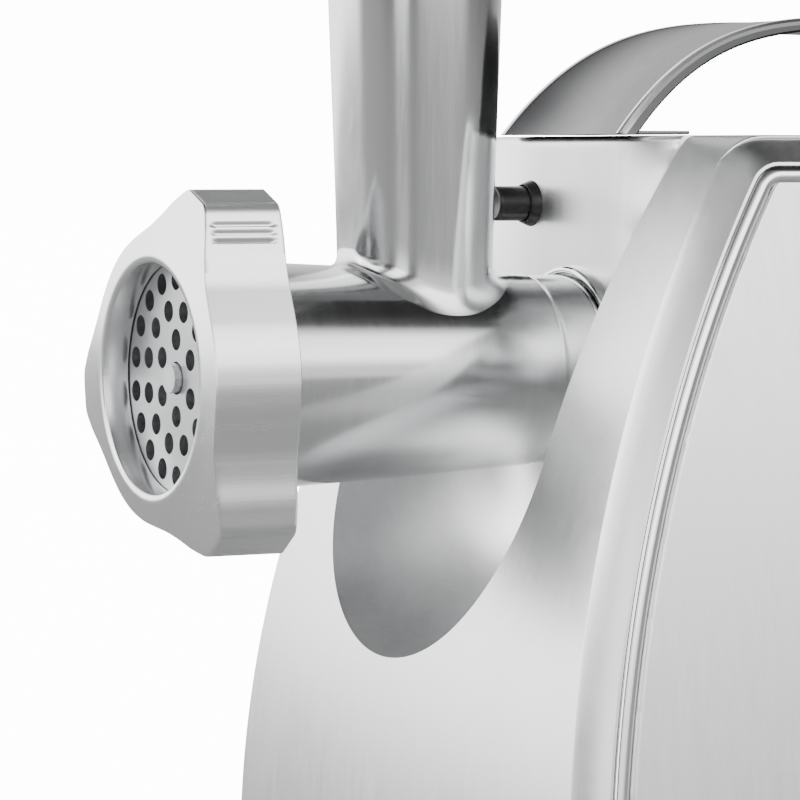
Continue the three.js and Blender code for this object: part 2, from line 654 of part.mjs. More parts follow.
// ---- gear train ----
function gearOutline(teeth, module) {
  const pitch = teeth * module / 2;
  const tip = pitch + 0.8 * module;
  const root = pitch - 1.15 * module;
  const slack = 0.16;
  const half = (r) => ((Math.PI / 4 - slack) * module + 0.364 * (pitch - r)) / pitch;
  const shape = new THREE.Shape();
  const spot = (r, a) => [r * Math.cos(a), r * Math.sin(a)];
  for (let i = 0; i < teeth; i++) {
    const a = 2 * Math.PI * i / teeth;
    if (i === 0) shape.moveTo(...spot(root, a - half(root)));
    else shape.lineTo(...spot(root, a - half(root)));
    shape.lineTo(...spot(tip, a - half(tip)));
    shape.lineTo(...spot(tip, a + half(tip)));
    shape.lineTo(...spot(root, a + half(root)));
  }
  return shape;
}

// phase is the angle of the first tooth, in degrees.
function gear(teeth, module, y0, y1, bore, phase) {
  const disc = extrudeY(gearOutline(teeth, module), y0, y1).rotate([0, phase, 0]);
  return disc.subtract(latheY(rodProfile(bore, y0 - 1, y1 + 1), 20));
}

function addDrive() {
  const shaft = latheY(rodProfile(7, 129, 168), 20).add(box(-4.2, 4.2, 117, 130, -4.2, 4.2));
  piece('output_shaft', shaft, STEEL);
  piece('output_gear', gear(OUTPUT_TEETH, OUTPUT_MODULE, 135, 146, 7 + GAP, 90), STEEL);
  const lay = [0, 0, LAY_AXIS];
  const pinionPhase = 90 + 180 / PINION_TEETH;
  piece('layshaft', latheY(rodProfile(4, 129, 167), 16), STEEL, lay);
  piece('layshaft_pinion', gear(PINION_TEETH, OUTPUT_MODULE, 134, 147, 4 + GAP, pinionPhase), STEEL, lay);
  piece('layshaft_gear', gear(LAY_TEETH, MOTOR_MODULE, 149, 157, 4 + GAP, 90), BRASS, lay);
}

function addGearbox() {
  const outline = () => {
    const shape = new THREE.Shape();
    shape.absarc(0, 0, 46, 0, Math.PI, false);
    shape.lineTo(-40, MOTOR_AXIS);
    shape.absarc(0, MOTOR_AXIS, 40, Math.PI, 2 * Math.PI, false);
    return shape;
  };
  const hole = (radius, z) => shift(latheY(rodProfile(radius, 120, 180), 20), 0, 0, z);
  const plate = (y0, y1) => extrudeY(outline(), y0, y1, 8)
    .subtract(hole(12.3, 0)).subtract(hole(7.3, LAY_AXIS)).subtract(hole(7.3, MOTOR_AXIS));
  const pinClear = shift(latheY(rodProfile(4, 120, 140), 12), BUTTON_X, 0, BUTTON_Z);
  const inside = new THREE.Shape();
  inside.absarc(0, 0, 42.5, 0, Math.PI, false);
  inside.lineTo(-36.5, MOTOR_AXIS);
  inside.absarc(0, MOTOR_AXIS, 36.5, Math.PI, 2 * Math.PI, false);
  const rim = extrudeY(outline(), 136.3, 164, 8).subtract(extrudeY(inside, 136, 160, 8));
  piece('gearbox_cover', plate(131.7, 134).subtract(pinClear), CAST);
  const bored = rim.subtract(hole(12.3, 0)).subtract(hole(7.3, LAY_AXIS)).subtract(hole(7.3, MOTOR_AXIS));
  piece('gearbox_case', bored, CAST);
  const bearing = (inner, outer, y0, y1) => latheY(tubeProfile(inner, outer, y0, y1), 20);
  piece('output_bearing_front', bearing(7.1, 12, 131.2, 134.2), STEEL);
  piece('output_bearing_rear', bearing(7.1, 12, 160, 166), STEEL);
  piece('lay_bush_front', bearing(4.1, 7, 131, 133.7), BRASS, [0, 0, LAY_AXIS]);
  piece('lay_bush_rear', bearing(4.1, 7, 159.8, 165), BRASS, [0, 0, LAY_AXIS]);
  piece('rotor_bearing_front', bearing(4.1, 7, 160, 165), STEEL, [0, 0, MOTOR_AXIS]);
  piece('rotor_bearing_rear', bearing(4.1, 9, 280, 287), STEEL, [0, 0, MOTOR_AXIS]);
}

function addMotor() {
  const at = [0, 0, MOTOR_AXIS];
  const phase = 90 + 180 / PINION_TEETH;
  const outline = roundedRectangle(0, 0, 40, 36, 14);
  const stator = extrudeY(outline, 184, 238, 4).subtract(latheY(rodProfile(24, 180, 240), 24));
  piece('motor_stator', stator, STEEL, at);
  const coil = extrudeY(roundedRectangle(0, 0, 33, 31, 12), 238.3, 247, 4)
    .subtract(latheY(rodProfile(25, 230, 250), 24));
  piece('field_winding', coil, COPPER, at);
  piece('rotor_core', latheY(tubeProfile(4.3, 23, 186, 236), 24), STEEL, at);
  piece('commutator', latheY(tubeProfile(4.3, 11, 250, 262), 20), COPPER, at);
  piece('rotor_shaft', latheY(rodProfile(4, 148, 288), 16), STEEL, at);
  piece('motor_pinion', gear(PINION_TEETH, MOTOR_MODULE, 148.5, 158, 4 + GAP, phase), STEEL, at);
  let fan = latheY(tubeProfile(4.3, 10, 268, 277), 20).add(latheY(tubeProfile(8, 34, 268, 269.6), 28));
  for (let i = 0; i < 8; i++) fan = fan.add(box(-0.9, 0.9, 269, 277, 9, 33).rotate([0, i * 45, 0]));
  piece('cooling_fan', fan, GREY_PLASTIC, at);
  [-1, 1].forEach((side, i) => {
    const holder = box(11.6, 30, 252, 260, -5, 5);
    piece(`brush_holder_${i + 1}`, side > 0 ? holder : holder.mirror([1, 0, 0]), BRASS, at);
  });
  const frame = box(-46, 46, 289, 292, MOTOR_AXIS - 40, MOTOR_AXIS + 40);
  const yoke = frame.add(box(-46, 46, 279.8, 292, MOTOR_AXIS - 12, MOTOR_AXIS + 12))
    .subtract(shift(latheY(rodProfile(9.3, 270, 288.5), 20), 0, 0, MOTOR_AXIS));
  piece('motor_bracket', yoke, CAST);
}

function addCordGland() {
  const outline = [[3.8, 314], [10, 314], [10, 317.5], [8, 317.5], [8, 324.6], [3.8, 324.6], [3.8, 314]];
  const gland = latheY(outline, 20);
  piece('cord_gland', gland, RUBBER, [0, 0, -135]);
}

addHousing();
addBase();
addHandle();
addSocket();
addRelease();
addControls();
addHead();
addAuger();
addKnife();
addHolePlate();
addRingNut();
addTray();
addPusher();
addDrive();
addGearbox();
addMotor();
addCordGland();

export default group;
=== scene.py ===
"""Finished surfaces, light and camera for the electric meat grinder.

Sizes are millimetres: x to the right, y back from the plane of the ring nut's wings, z up from
the head's axis. A Datum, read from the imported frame, turns them into the row's metres.
"""

from __future__ import annotations

import json
import logging
import math
from collections.abc import Callable, Sequence
from dataclasses import dataclass
from enum import Enum

import bmesh
import bpy
from mathutils import Matrix, Vector


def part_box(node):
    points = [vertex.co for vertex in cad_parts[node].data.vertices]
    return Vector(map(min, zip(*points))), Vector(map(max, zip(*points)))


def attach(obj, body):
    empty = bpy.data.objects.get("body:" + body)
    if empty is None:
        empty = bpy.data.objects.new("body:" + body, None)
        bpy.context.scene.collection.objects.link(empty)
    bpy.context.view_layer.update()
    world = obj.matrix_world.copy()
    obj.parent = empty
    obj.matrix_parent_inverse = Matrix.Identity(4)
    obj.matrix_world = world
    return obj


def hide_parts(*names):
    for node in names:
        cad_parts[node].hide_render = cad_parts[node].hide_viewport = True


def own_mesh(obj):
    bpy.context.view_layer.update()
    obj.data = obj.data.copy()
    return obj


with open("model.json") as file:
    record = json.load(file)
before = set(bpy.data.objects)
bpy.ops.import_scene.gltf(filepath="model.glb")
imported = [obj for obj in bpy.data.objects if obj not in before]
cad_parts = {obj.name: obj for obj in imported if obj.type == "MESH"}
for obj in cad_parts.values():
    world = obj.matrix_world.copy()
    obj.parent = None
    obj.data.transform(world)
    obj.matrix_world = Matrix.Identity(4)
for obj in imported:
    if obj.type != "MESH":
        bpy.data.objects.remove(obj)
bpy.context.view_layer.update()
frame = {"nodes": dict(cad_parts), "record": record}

log = logging.getLogger("grinder")
MM = 0.001
RING_LIP = 3.6           # how far the ring nut's lip stands before its wings
WELD = 0.002             # points nearer than this become one
Spot = tuple[float, float, float]
Profile = Sequence[tuple[float, float]]
Place = Callable[[float, float], Spot]
Loop = list[Spot]


class Axis(Enum):
    """The line that a turned piece is spun about."""

    X = (1.0, 0.0, 0.0)
    Y = (0.0, 1.0, 0.0)
    Z = (0.0, 0.0, 1.0)


class Grain(Enum):
    """How a brushed finish's lines run, as noise cells per metre along x, y and z."""

    UPRIGHT = (1700.0, 1700.0, 14.0)
    ALONG_DEPTH = (1700.0, 14.0, 1700.0)
    ACROSS = (14.0, 1700.0, 1700.0)
    TURNED = (90.0, 1900.0, 90.0)
    NONE = (160.0, 160.0, 160.0)


@dataclass(frozen=True)
class Datum:
    """Where the head's axis and the ring nut's wings lie in the row frame."""

    depth: float
    height: float

    @classmethod
    def from_frame(cls) -> Datum:
        """Reads the datum from the ring nut and the port collar."""
        ring_low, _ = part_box("ring_nut")
        collar_low, collar_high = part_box("port_collar")
        return cls(ring_low.y + RING_LIP * MM, (collar_low.z + collar_high.z) / 2)

    def to_row(self) -> Matrix:
        """The matrix from millimetres at the datum to metres in the row frame."""
        return Matrix.Translation((0, self.depth, self.height)) @ Matrix.Scale(MM, 4)


# ---------------------------------------------------------------- shared shader effects

def add_socket(group: bpy.types.NodeTree, name: str, kind: str, output: bool, value: object = None) -> None:
    """Adds a named socket to a node group.

    Args:
        group: The node group.
        name: The socket's name.
        kind: Float, Color or Vector.
        output: True for an output socket.
        value: The socket's default, if it has one.
    """
    way = "OUTPUT" if output else "INPUT"
    socket = group.interface.new_socket(name=name, in_out=way, socket_type=f"NodeSocket{kind}")
    if value is not None:
        socket.default_value = value


class Wiring:
    """Short calls that add and join the nodes of one node tree."""

    def __init__(self, tree: bpy.types.NodeTree) -> None:
        """Keeps the tree."""
        self.tree = tree

    def node(self, kind: str, **settings: object) -> bpy.types.Node:
        """Adds a node of one kind and sets its properties.

        Args:
            kind: The node's type, without the ShaderNode prefix, or a full type name.
            settings: Property values.

        Returns:
            The new node.
        """
        full = kind if kind.startswith("Node") else f"ShaderNode{kind}"
        made = self.tree.nodes.new(full)
        for key, value in settings.items():
            setattr(made, key, value)
        return made

    def join(self, source: bpy.types.NodeSocket, target: bpy.types.NodeSocket) -> None:
        """Links one socket to another."""
        self.tree.links.new(source, target)

    def math(self, operation: str, first: object, second: object) -> bpy.types.NodeSocket:
        """Adds a math node.

        Args:
            operation: The node's operation.
            first: A socket or a number.
            second: A socket or a number.

        Returns:
            The result's socket.
        """
        made = self.node("Math", operation=operation)
        for socket, value in zip(made.inputs, (first, second)):
            if isinstance(value, (int, float)):
                socket.default_value = value
            else:
                self.join(value, socket)
        return made.outputs[0]

    def noise(self, place: bpy.types.NodeSocket, scale: float, detail: float, roughness: float = 0.5,
              ) -> bpy.types.NodeSocket:
        """Adds a noise texture.

        Args:
            place: The coordinate's socket.
            scale: Cells per unit.
            detail: Octaves of finer noise.
            roughness: Strength of the finer noise.

        Returns:
            The noise's socket.
        """
        made = self.node("TexNoise", noise_dimensions="3D")
        for name, number in (("Scale", scale), ("Detail", detail), ("Roughness", roughness)):
            made.inputs[name].default_value = number
        self.join(place, made.inputs["Vector"])
        return made.outputs["Fac"]

    def spread(self, value: bpy.types.NodeSocket, low: float, high: float, to_low: float, to_high: float,
               ) -> bpy.types.NodeSocket:
        """Maps a value's range to another, clamped.

        Args:
            value: The value's socket.
            low: The value that becomes to_low.
            high: The value that becomes to_high.
            to_low: The result's low end.
            to_high: The result's high end.

        Returns:
            The result's socket.
        """
        made = self.node("MapRange")
        for name, number in (("From Min", low), ("From Max", high), ("To Min", to_low), ("To Max", to_high)):
            made.inputs[name].default_value = number
        self.join(value, made.inputs["Value"])
        return made.outputs["Result"]


def new_group(name: str, inputs: Sequence[tuple[str, str, object]], outputs: Sequence[tuple[str, str]],
              ) -> tuple[bpy.types.NodeTree, Wiring, bpy.types.Node, bpy.types.Node]:
    """Starts a shader node group with named sockets.

    Args:
        name: The group's name.
        inputs: Name, kind and default of each input.
        outputs: Name and kind of each output.

    Returns:
        The group, its wiring, its input node and its output node.
    """
    group = bpy.data.node_groups.new(name, "ShaderNodeTree")
    for title, kind, value in inputs:
        add_socket(group, title, kind, False, value)
    for title, kind in outputs:
        add_socket(group, title, kind, True)
    wires = Wiring(group)
    return group, wires, wires.node("NodeGroupInput"), wires.node("NodeGroupOutput")


def make_grain_group(coarse_scale: float = 0.22, tint_swing: float = 0.22, rough_swing: float = 0.2,
                     ) -> bpy.types.NodeTree:
    """Fine drawn lines: a tint, a roughness and a height that vary across them.

    Args:
        coarse_scale: Size of the broad streaks against the fine lines.
        tint_swing: How much the lines lighten and darken the metal.
        rough_swing: How much they change its roughness.

    Returns:
        The node group.
    """
    group, wires, start, end = new_group(
        "grain_lines",
        [("Coordinate", "Vector", (0.0, 0.0, 0.0)), ("Roughness", "Float", 0.3), ("Depth", "Float", 0.5)],
        [("Tint", "Float"), ("Roughness", "Float"), ("Height", "Float")])
    both = wires.math("ADD", wires.noise(start.outputs["Coordinate"], 1.0, 2.0),
                      wires.noise(start.outputs["Coordinate"], coarse_scale, 3.0))
    centred = wires.math("SUBTRACT", both, 1.0)
    swing = wires.math("MULTIPLY", centred, start.outputs["Depth"])
    wires.join(wires.math("ADD", wires.math("MULTIPLY", swing, tint_swing), 1.0), end.inputs["Tint"])
    rough = wires.math("ADD", start.outputs["Roughness"], wires.math("MULTIPLY", swing, rough_swing))
    wires.join(rough, end.inputs["Roughness"])
    wires.join(wires.math("MULTIPLY", both, start.outputs["Depth"]), end.inputs["Height"])
    return group


def make_highlight_and_smear_group(smear_scale: float = 21.0) -> bpy.types.NodeTree:
    """Painted highlight on convex edges, which lightens their colour, and faint smears that dull the shine.

    Args:
        smear_scale: Smears per metre.

    Returns:
        The node group.
    """
    group, wires, start, end = new_group(
        "edge_highlight_and_smears", [("Edge", "Float", 0.3), ("Smear", "Float", 0.3)],
        [("Edge Highlight Mask", "Float"), ("Smear Mask", "Float")])
    shape = wires.node("NewGeometry")
    # Painted highlight: convex edges, found by pointiness, are marked for a lighter colour.
    edge_highlight = wires.spread(shape.outputs["Pointiness"], 0.52, 0.62, 0.0, 1.0)
    wires.join(wires.math("MULTIPLY", edge_highlight, start.outputs["Edge"]), end.inputs["Edge Highlight Mask"])
    place = wires.node("TexCoord")
    cloud = wires.noise(place.outputs["Object"], smear_scale, 4.0, 0.6)
    smear = wires.spread(cloud, 0.42, 0.72, 0.0, 1.0)
    wires.join(wires.math("MULTIPLY", smear, start.outputs["Smear"]), end.inputs["Smear Mask"])
    return group


@dataclass(frozen=True)
class Effects:
    """The node groups that several finishes share."""

    grain: bpy.types.NodeTree
    highlight_and_smear: bpy.types.NodeTree


@dataclass(frozen=True)
class Finish:
    """One metal, plastic or rubber finish.

    Attributes:
        name: The material's name, which is its slot in the record.
        colour: Base colour, linear.
        metallic: 1 for metal.
        roughness: Mean roughness.
        grain: Which way the drawn lines or the moulded texture run.
        depth: Strength of the lines.
        bump: Height of the lines, in metres.
        edge: Strength of the painted highlight on convex edges.
        smear: Strength of handling smears.
        highlight_gain: How much brighter the painted edge highlight makes the colour.
        highlight_lift: What the painted edge highlight adds to the colour.
        smear_dull: What a full smear adds to the roughness.
    """

    name: str
    colour: tuple[float, float, float]
    metallic: float = 1.0
    roughness: float = 0.3
    grain: Grain = Grain.NONE
    depth: float = 0.5
    bump: float = 0.00002
    edge: float = 0.3
    smear: float = 0.25
    highlight_gain: float = 1.25
    highlight_lift: float = 0.04
    smear_dull: float = 0.12

    def make(self, effects: Effects) -> bpy.types.Material:
        """Builds the material.

        Args:
            effects: The shared node groups.

        Returns:
            The material.
        """
        material = bpy.data.materials.new(self.name)
        material.use_nodes = True
        wires = Wiring(material.node_tree)
        shader = material.node_tree.nodes["Principled BSDF"]
        shader.inputs["Metallic"].default_value = self.metallic
        place = wires.node("TexCoord")
        stretch = wires.node("Mapping")
        stretch.inputs["Scale"].default_value = self.grain.value
        wires.join(place.outputs["Object"], stretch.inputs["Vector"])
        lines = wires.node("Group", node_tree=effects.grain)
        lines.inputs["Roughness"].default_value = self.roughness
        lines.inputs["Depth"].default_value = self.depth
        wires.join(stretch.outputs["Vector"], lines.inputs["Coordinate"])
        highlight_smear_node = wires.node("Group", node_tree=effects.highlight_and_smear)
        highlight_smear_node.inputs["Edge"].default_value = self.edge
        highlight_smear_node.inputs["Smear"].default_value = self.smear
        tint = wires.node("Mix", data_type="RGBA", blend_type="MULTIPLY")
        tint.inputs["Factor"].default_value = 1.0
        tint.inputs["A"].default_value = (*self.colour, 1.0)
        wires.join(lines.outputs["Tint"], tint.inputs["B"])
        # Painted highlight: the base colour is lightened on convex edges.
        edge_highlight = wires.node("Mix", data_type="RGBA")
        bright = [min(1.0, part * self.highlight_gain + self.highlight_lift) for part in self.colour]
        edge_highlight.inputs["B"].default_value = (*bright, 1.0)
        wires.join(tint.outputs["Result"], edge_highlight.inputs["A"])
        wires.join(highlight_smear_node.outputs["Edge Highlight Mask"], edge_highlight.inputs["Factor"])
        wires.join(edge_highlight.outputs["Result"], shader.inputs["Base Color"])
        dulled = wires.math("MULTIPLY", highlight_smear_node.outputs["Smear Mask"], self.smear_dull)
        wires.join(wires.math("ADD", lines.outputs["Roughness"], dulled), shader.inputs["Roughness"])
        bump = wires.node("Bump")
        bump.inputs["Strength"].default_value = 1.0
        bump.inputs["Distance"].default_value = self.bump
        wires.join(lines.outputs["Height"], bump.inputs["Height"])
        wires.join(bump.outputs["Normal"], shader.inputs["Normal"])
        return material


class Look(Enum):
    """The finishes that the grinder uses, one for each slot of the record."""

    SHELL = Finish("brushed_shell", (0.80, 0.805, 0.81), 1, 0.34, Grain.UPRIGHT, 0.55, 0.00001, 0.1)
    PANEL = Finish("brushed_panel", (0.82, 0.825, 0.83), 1, 0.36, Grain.UPRIGHT, 0.8, 0.000014, 0.1)
    TRIM = Finish("polished_trim", (0.86, 0.865, 0.87), 1, 0.14, Grain.NONE, 0.1, 0.000002, 0.2)
    # The strap's base colour is darkened beyond its own tone: painted dark reflection of the ceiling on its
    # outer face.
    HANDLE = Finish("handle_metal", (0.13, 0.132, 0.135), 1, 0.32, Grain.ALONG_DEPTH, 0.4, 0.00001)
    HEAD = Finish("polished_head", (0.64, 0.645, 0.65), 1, 0.13, Grain.TURNED, 0.35, 0.000004)
    RING = Finish("ring_metal", (0.76, 0.765, 0.77), 1, 0.24, Grain.ALONG_DEPTH, 0.3, 0.000006)
    TRAY = Finish("tray_metal", (0.80, 0.805, 0.81), 1, 0.3, Grain.ACROSS, 0.6, 0.00001)
    CAST = Finish("cast_aluminium", (0.62, 0.63, 0.64), 1, 0.42, Grain.NONE, 0.5, 0.00003)
    STEEL = Finish("machined_steel", (0.58, 0.59, 0.6), 1, 0.3, Grain.TURNED, 0.5, 0.00001)
    BRASS = Finish("brass", (0.72, 0.54, 0.24), 1, 0.32, Grain.TURNED, 0.4)
    COPPER = Finish("copper", (0.72, 0.36, 0.2), 1, 0.38, Grain.TURNED, 0.6, 0.00004)
    BLACK = Finish("black_plastic", (0.018, 0.018, 0.02), 0, 0.33, Grain.NONE, 0.4, 0.00002, 0.15)
    GREY = Finish("grey_plastic", (0.23, 0.235, 0.24), 0, 0.5, Grain.NONE, 0.6, 0.00003, 0.15)
    RUBBER = Finish("rubber", (0.03, 0.03, 0.03), 0, 0.8, Grain.NONE, 0.8, 0.00005, 0.1, 0.5)


class Bench:
    """Where the pieces are set up: holds the datum, and makes each finish once."""

    def __init__(self, datum: Datum) -> None:
        """Keeps the datum and builds the shared effects."""
        self.datum = datum
        self.effects = Effects(make_grain_group(), make_highlight_and_smear_group())
        self.made: dict[Look, bpy.types.Material] = {}

    def material(self, look: Look) -> bpy.types.Material:
        """The material of a finish, made at its first use."""
        if look not in self.made:
            self.made[look] = look.value.make(self.effects)
        return self.made[look]


# ---------------------------------------------------------------- mesh tools

def fillet(profile: Profile, radius: float, steps: int = 4) -> list[tuple[float, float]]:
    """Rounds the inner corners of an open profile.

    Args:
        profile: The profile's points.
        radius: Length taken from each side of a corner, at most.
        steps: Points on each rounded corner, less one.

    Returns:
        The rounded profile.
    """
    points = [Vector(p) for p in profile]
    made = [tuple(points[0])]
    for before, corner, after in zip(points, points[1:], points[2:]):
        cut = min(radius, (before - corner).length * 0.45, (after - corner).length * 0.45)
        start = corner + (before - corner).normalized() * cut
        finish = corner + (after - corner).normalized() * cut
        for i in range(steps + 1):
            t = i / steps
            made.append(tuple(start * (1 - t) ** 2 + corner * 2 * t * (1 - t) + finish * t ** 2))
    made.append(tuple(points[-1]))
    return made


class Workpiece:
    """A mesh being shaped in millimetres at the datum."""

    def __init__(self, name: str) -> None:
        """Starts an empty mesh."""
        self.name = name
        self.bm = bmesh.new()

    def patch(self, columns: int, rows: int, place: Place) -> list[bmesh.types.BMVert]:
        """Adds a grid and lays it over a surface.

        Args:
            columns: Cells across.
            rows: Cells along.
            place: Gives x, y and z for u and v from 0 to 1.

        Returns:
            The grid's vertices.
        """
        made = bmesh.ops.create_grid(self.bm, x_segments=columns, y_segments=rows, size=1.0)["verts"]
        for vert in made:
            vert.co = place((vert.co.x + 1) / 2, (vert.co.y + 1) / 2)
        return made

    def skin(self, loops: Sequence[Loop]) -> None:
        """Adds a surface that runs through a row of outlines.

        Args:
            loops: Outlines of equally many points. A closed one ends where it starts.
        """
        rows = len(loops) - 1
        columns = len(loops[0]) - 1
        self.patch(columns, rows, lambda u, v: loops[round(v * rows)][round(u * columns)])

    def close_ends(self) -> None:
        """Fills every open edge loop with a face."""
        bmesh.ops.remove_doubles(self.bm, verts=self.bm.verts[:], dist=WELD)
        rims = [edge for edge in self.bm.edges if edge.is_boundary]
        bmesh.ops.holes_fill(self.bm, edges=rims, sides=0)

    def face_out(self, core: Spot) -> None:
        """Turns each separate sheet so that most of it faces away from a point inside the piece.

        Args:
            core: The point inside the piece.
        """
        left = set(self.bm.faces)
        while left:
            sheet = [left.pop()]
            for face in sheet:
                near = {other for edge in face.edges for other in edge.link_faces} & left
                left -= near
                sheet.extend(near)
            if sum(face.normal.dot(face.calc_center_median() - Vector(core)) * face.calc_area()
                   for face in sheet) < 0:
                bmesh.ops.reverse_faces(self.bm, faces=sheet)

    def turn(self, profile: Profile, axis: Axis, centre: Spot, steps: int) -> None:
        """Spins a profile of radius and distance along the axis into a round body.

        Args:
            profile: Points of radius and distance.
            axis: The axis of the spin.
            centre: A point on the axis, from which the distance counts.
            steps: Facets around.
        """
        along = Vector(axis.value)
        out = Vector((0, 0, 1)) if axis is not Axis.Z else Vector((1, 0, 0))
        verts = [self.bm.verts.new(Vector(centre) + out * r + along * d) for r, d in profile]
        edges = [self.bm.edges.new(pair) for pair in zip(verts, verts[1:])]
        bmesh.ops.spin(self.bm, geom=verts + edges, cent=centre, axis=along, dvec=(0, 0, 0),
                       angle=2 * math.pi, steps=steps, use_merge=True, use_duplicate=False)

    def block(self, low: Spot, high: Spot, round_by: float) -> None:
        """Adds a box with bevelled edges.

        Args:
            low: Its lowest corner.
            high: Its highest corner.
            round_by: The bevel's width.
        """
        size = Vector(high) - Vector(low)
        middle = (Vector(high) + Vector(low)) / 2
        matrix = Matrix.Translation(middle) @ Matrix.Diagonal((*size, 1.0))
        made = bmesh.ops.create_cube(self.bm, size=1.0, matrix=matrix)["verts"]
        self.soften(list({edge for vert in made for edge in vert.link_edges}), round_by, 3)

    def soften(self, edges: Sequence[bmesh.types.BMEdge], width: float, segments: int) -> None:
        """Bevels edges round."""
        bmesh.ops.bevel(self.bm, geom=edges, offset=width, offset_type="OFFSET", segments=segments,
                        profile=0.5, affect="EDGES", material=-1, clamp_overlap=True)

    def cut_plate(self, borders: Sequence[Loop], facing: Spot, push: Spot) -> set[bmesh.types.BMVert]:
        """Fills an outline round its holes and gives it thickness.

        Args:
            borders: The outline and the holes, with no point repeated.
            facing: The way that the filled face looks.
            push: How far and which way the plate grows from there.

        Returns:
            The far face's vertices.
        """
        for border in borders:
            verts = [self.bm.verts.new(point) for point in border]
            for pair in zip(verts, verts[1:] + verts[:1]):
                self.bm.edges.new(pair)
        bmesh.ops.remove_doubles(self.bm, verts=self.bm.verts[:], dist=WELD)
        bmesh.ops.triangle_fill(self.bm, edges=self.bm.edges[:], use_beauty=True, use_dissolve=False,
                                normal=facing)
        grown = bmesh.ops.extrude_face_region(self.bm, geom=self.bm.faces[:], use_keep_orig=True)["geom"]
        moved = {item for item in grown if isinstance(item, bmesh.types.BMVert)}
        bmesh.ops.translate(self.bm, verts=list(moved), vec=push)
        bmesh.ops.recalc_face_normals(self.bm, faces=self.bm.faces[:])
        return moved

    def finish(self, bench: Bench, look: Look, body: str, nodes: Sequence[str], sharp: float = 38.0,
               core: Spot | None = None, wall: float = 0.0) -> bpy.types.Object:
        """Welds the mesh, places it in the row frame and makes it ride on its body.

        Args:
            bench: The datum and the finishes.
            look: Its finish, which also names its slot.
            body: The CAD body that it moves with.
            nodes: The CAD nodes that it stands for.
            sharp: Edges that turn more than this many degrees stay crisp.
            core: A point inside an open sheet, which then faces away from it.
            wall: The thickness that an open sheet gets, inwards.

        Returns:
            The finished object.
        """
        bmesh.ops.remove_doubles(self.bm, verts=self.bm.verts[:], dist=WELD)
        bmesh.ops.dissolve_degenerate(self.bm, dist=0.0005, edges=self.bm.edges[:])
        bmesh.ops.recalc_face_normals(self.bm, faces=self.bm.faces[:])
        if core is not None:
            self.bm.normal_update()
            self.face_out(core)
        limit = math.radians(sharp)
        for face in self.bm.faces:
            face.smooth = True
        for edge in self.bm.edges:
            edge.smooth = edge.calc_face_angle(0.0) < limit
        self.bm.transform(bench.datum.to_row())
        mesh = bpy.data.meshes.new(self.name)
        self.bm.to_mesh(mesh)
        self.bm.free()
        piece = bpy.data.objects.new(self.name, mesh)
        bpy.context.scene.collection.objects.link(piece)
        mesh.materials.append(bench.material(look))
        if wall:
            shell = piece.modifiers.new("wall", "SOLIDIFY")
            shell.thickness = wall * MM
            shell.offset = -1.0
        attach(piece, body)
        if nodes:
            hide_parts(*nodes)
        log.info("%s: %d faces", self.name, len(mesh.polygons))
        return piece


def blend(low: float, high: float, t: float) -> float:
    """The value a share t of the way from low to high."""
    return low + (high - low) * t


def ease(t: float) -> float:
    """A smooth step from 0 to 1."""
    t = min(1.0, max(0.0, t))
    return t * t * (3 - 2 * t)


def round_hole(x: float, y: float, radius: float, count: int) -> list[tuple[float, float]]:
    """Evenly spaced points on a circle, none of them repeated."""
    turns = [2 * math.pi * k / count for k in range(count)]
    return [(x + radius * math.cos(a), y + radius * math.sin(a)) for a in turns]


def round_box(half_x: float, half_y: float, radius: float, steps: int, sides: int = 12,
              ) -> list[tuple[float, float]]:
    """The closed outline of a rectangle with round corners.

    Args:
        half_x: Half its width.
        half_y: Half its depth.
        radius: Its corners' radius.
        steps: Segments in each corner.
        sides: Segments along each straight side.

    Returns:
        Points all round, with the first one repeated at the end.
    """
    radius = min(radius, half_x - 0.01, half_y - 0.01)
    points = []
    for corner, (sx, sy) in enumerate(((1, 1), (-1, 1), (-1, -1), (1, -1))):
        for i in range(steps + 1):
            a = math.radians(90 * (corner + i / steps))
            points.append((sx * (half_x - radius) + radius * math.cos(a),
                           sy * (half_y - radius) + radius * math.sin(a)))
    outline = []
    for i, (start, end) in enumerate(zip(points, points[1:] + points[:1])):
        cells = sides if i % (steps + 1) == steps else 1
        shares = [k / cells for k in range(cells)]
        outline += [(blend(start[0], end[0], t), blend(start[1], end[1], t)) for t in shares]
    return outline + outline[:1]


# ---------------------------------------------------------------- housing

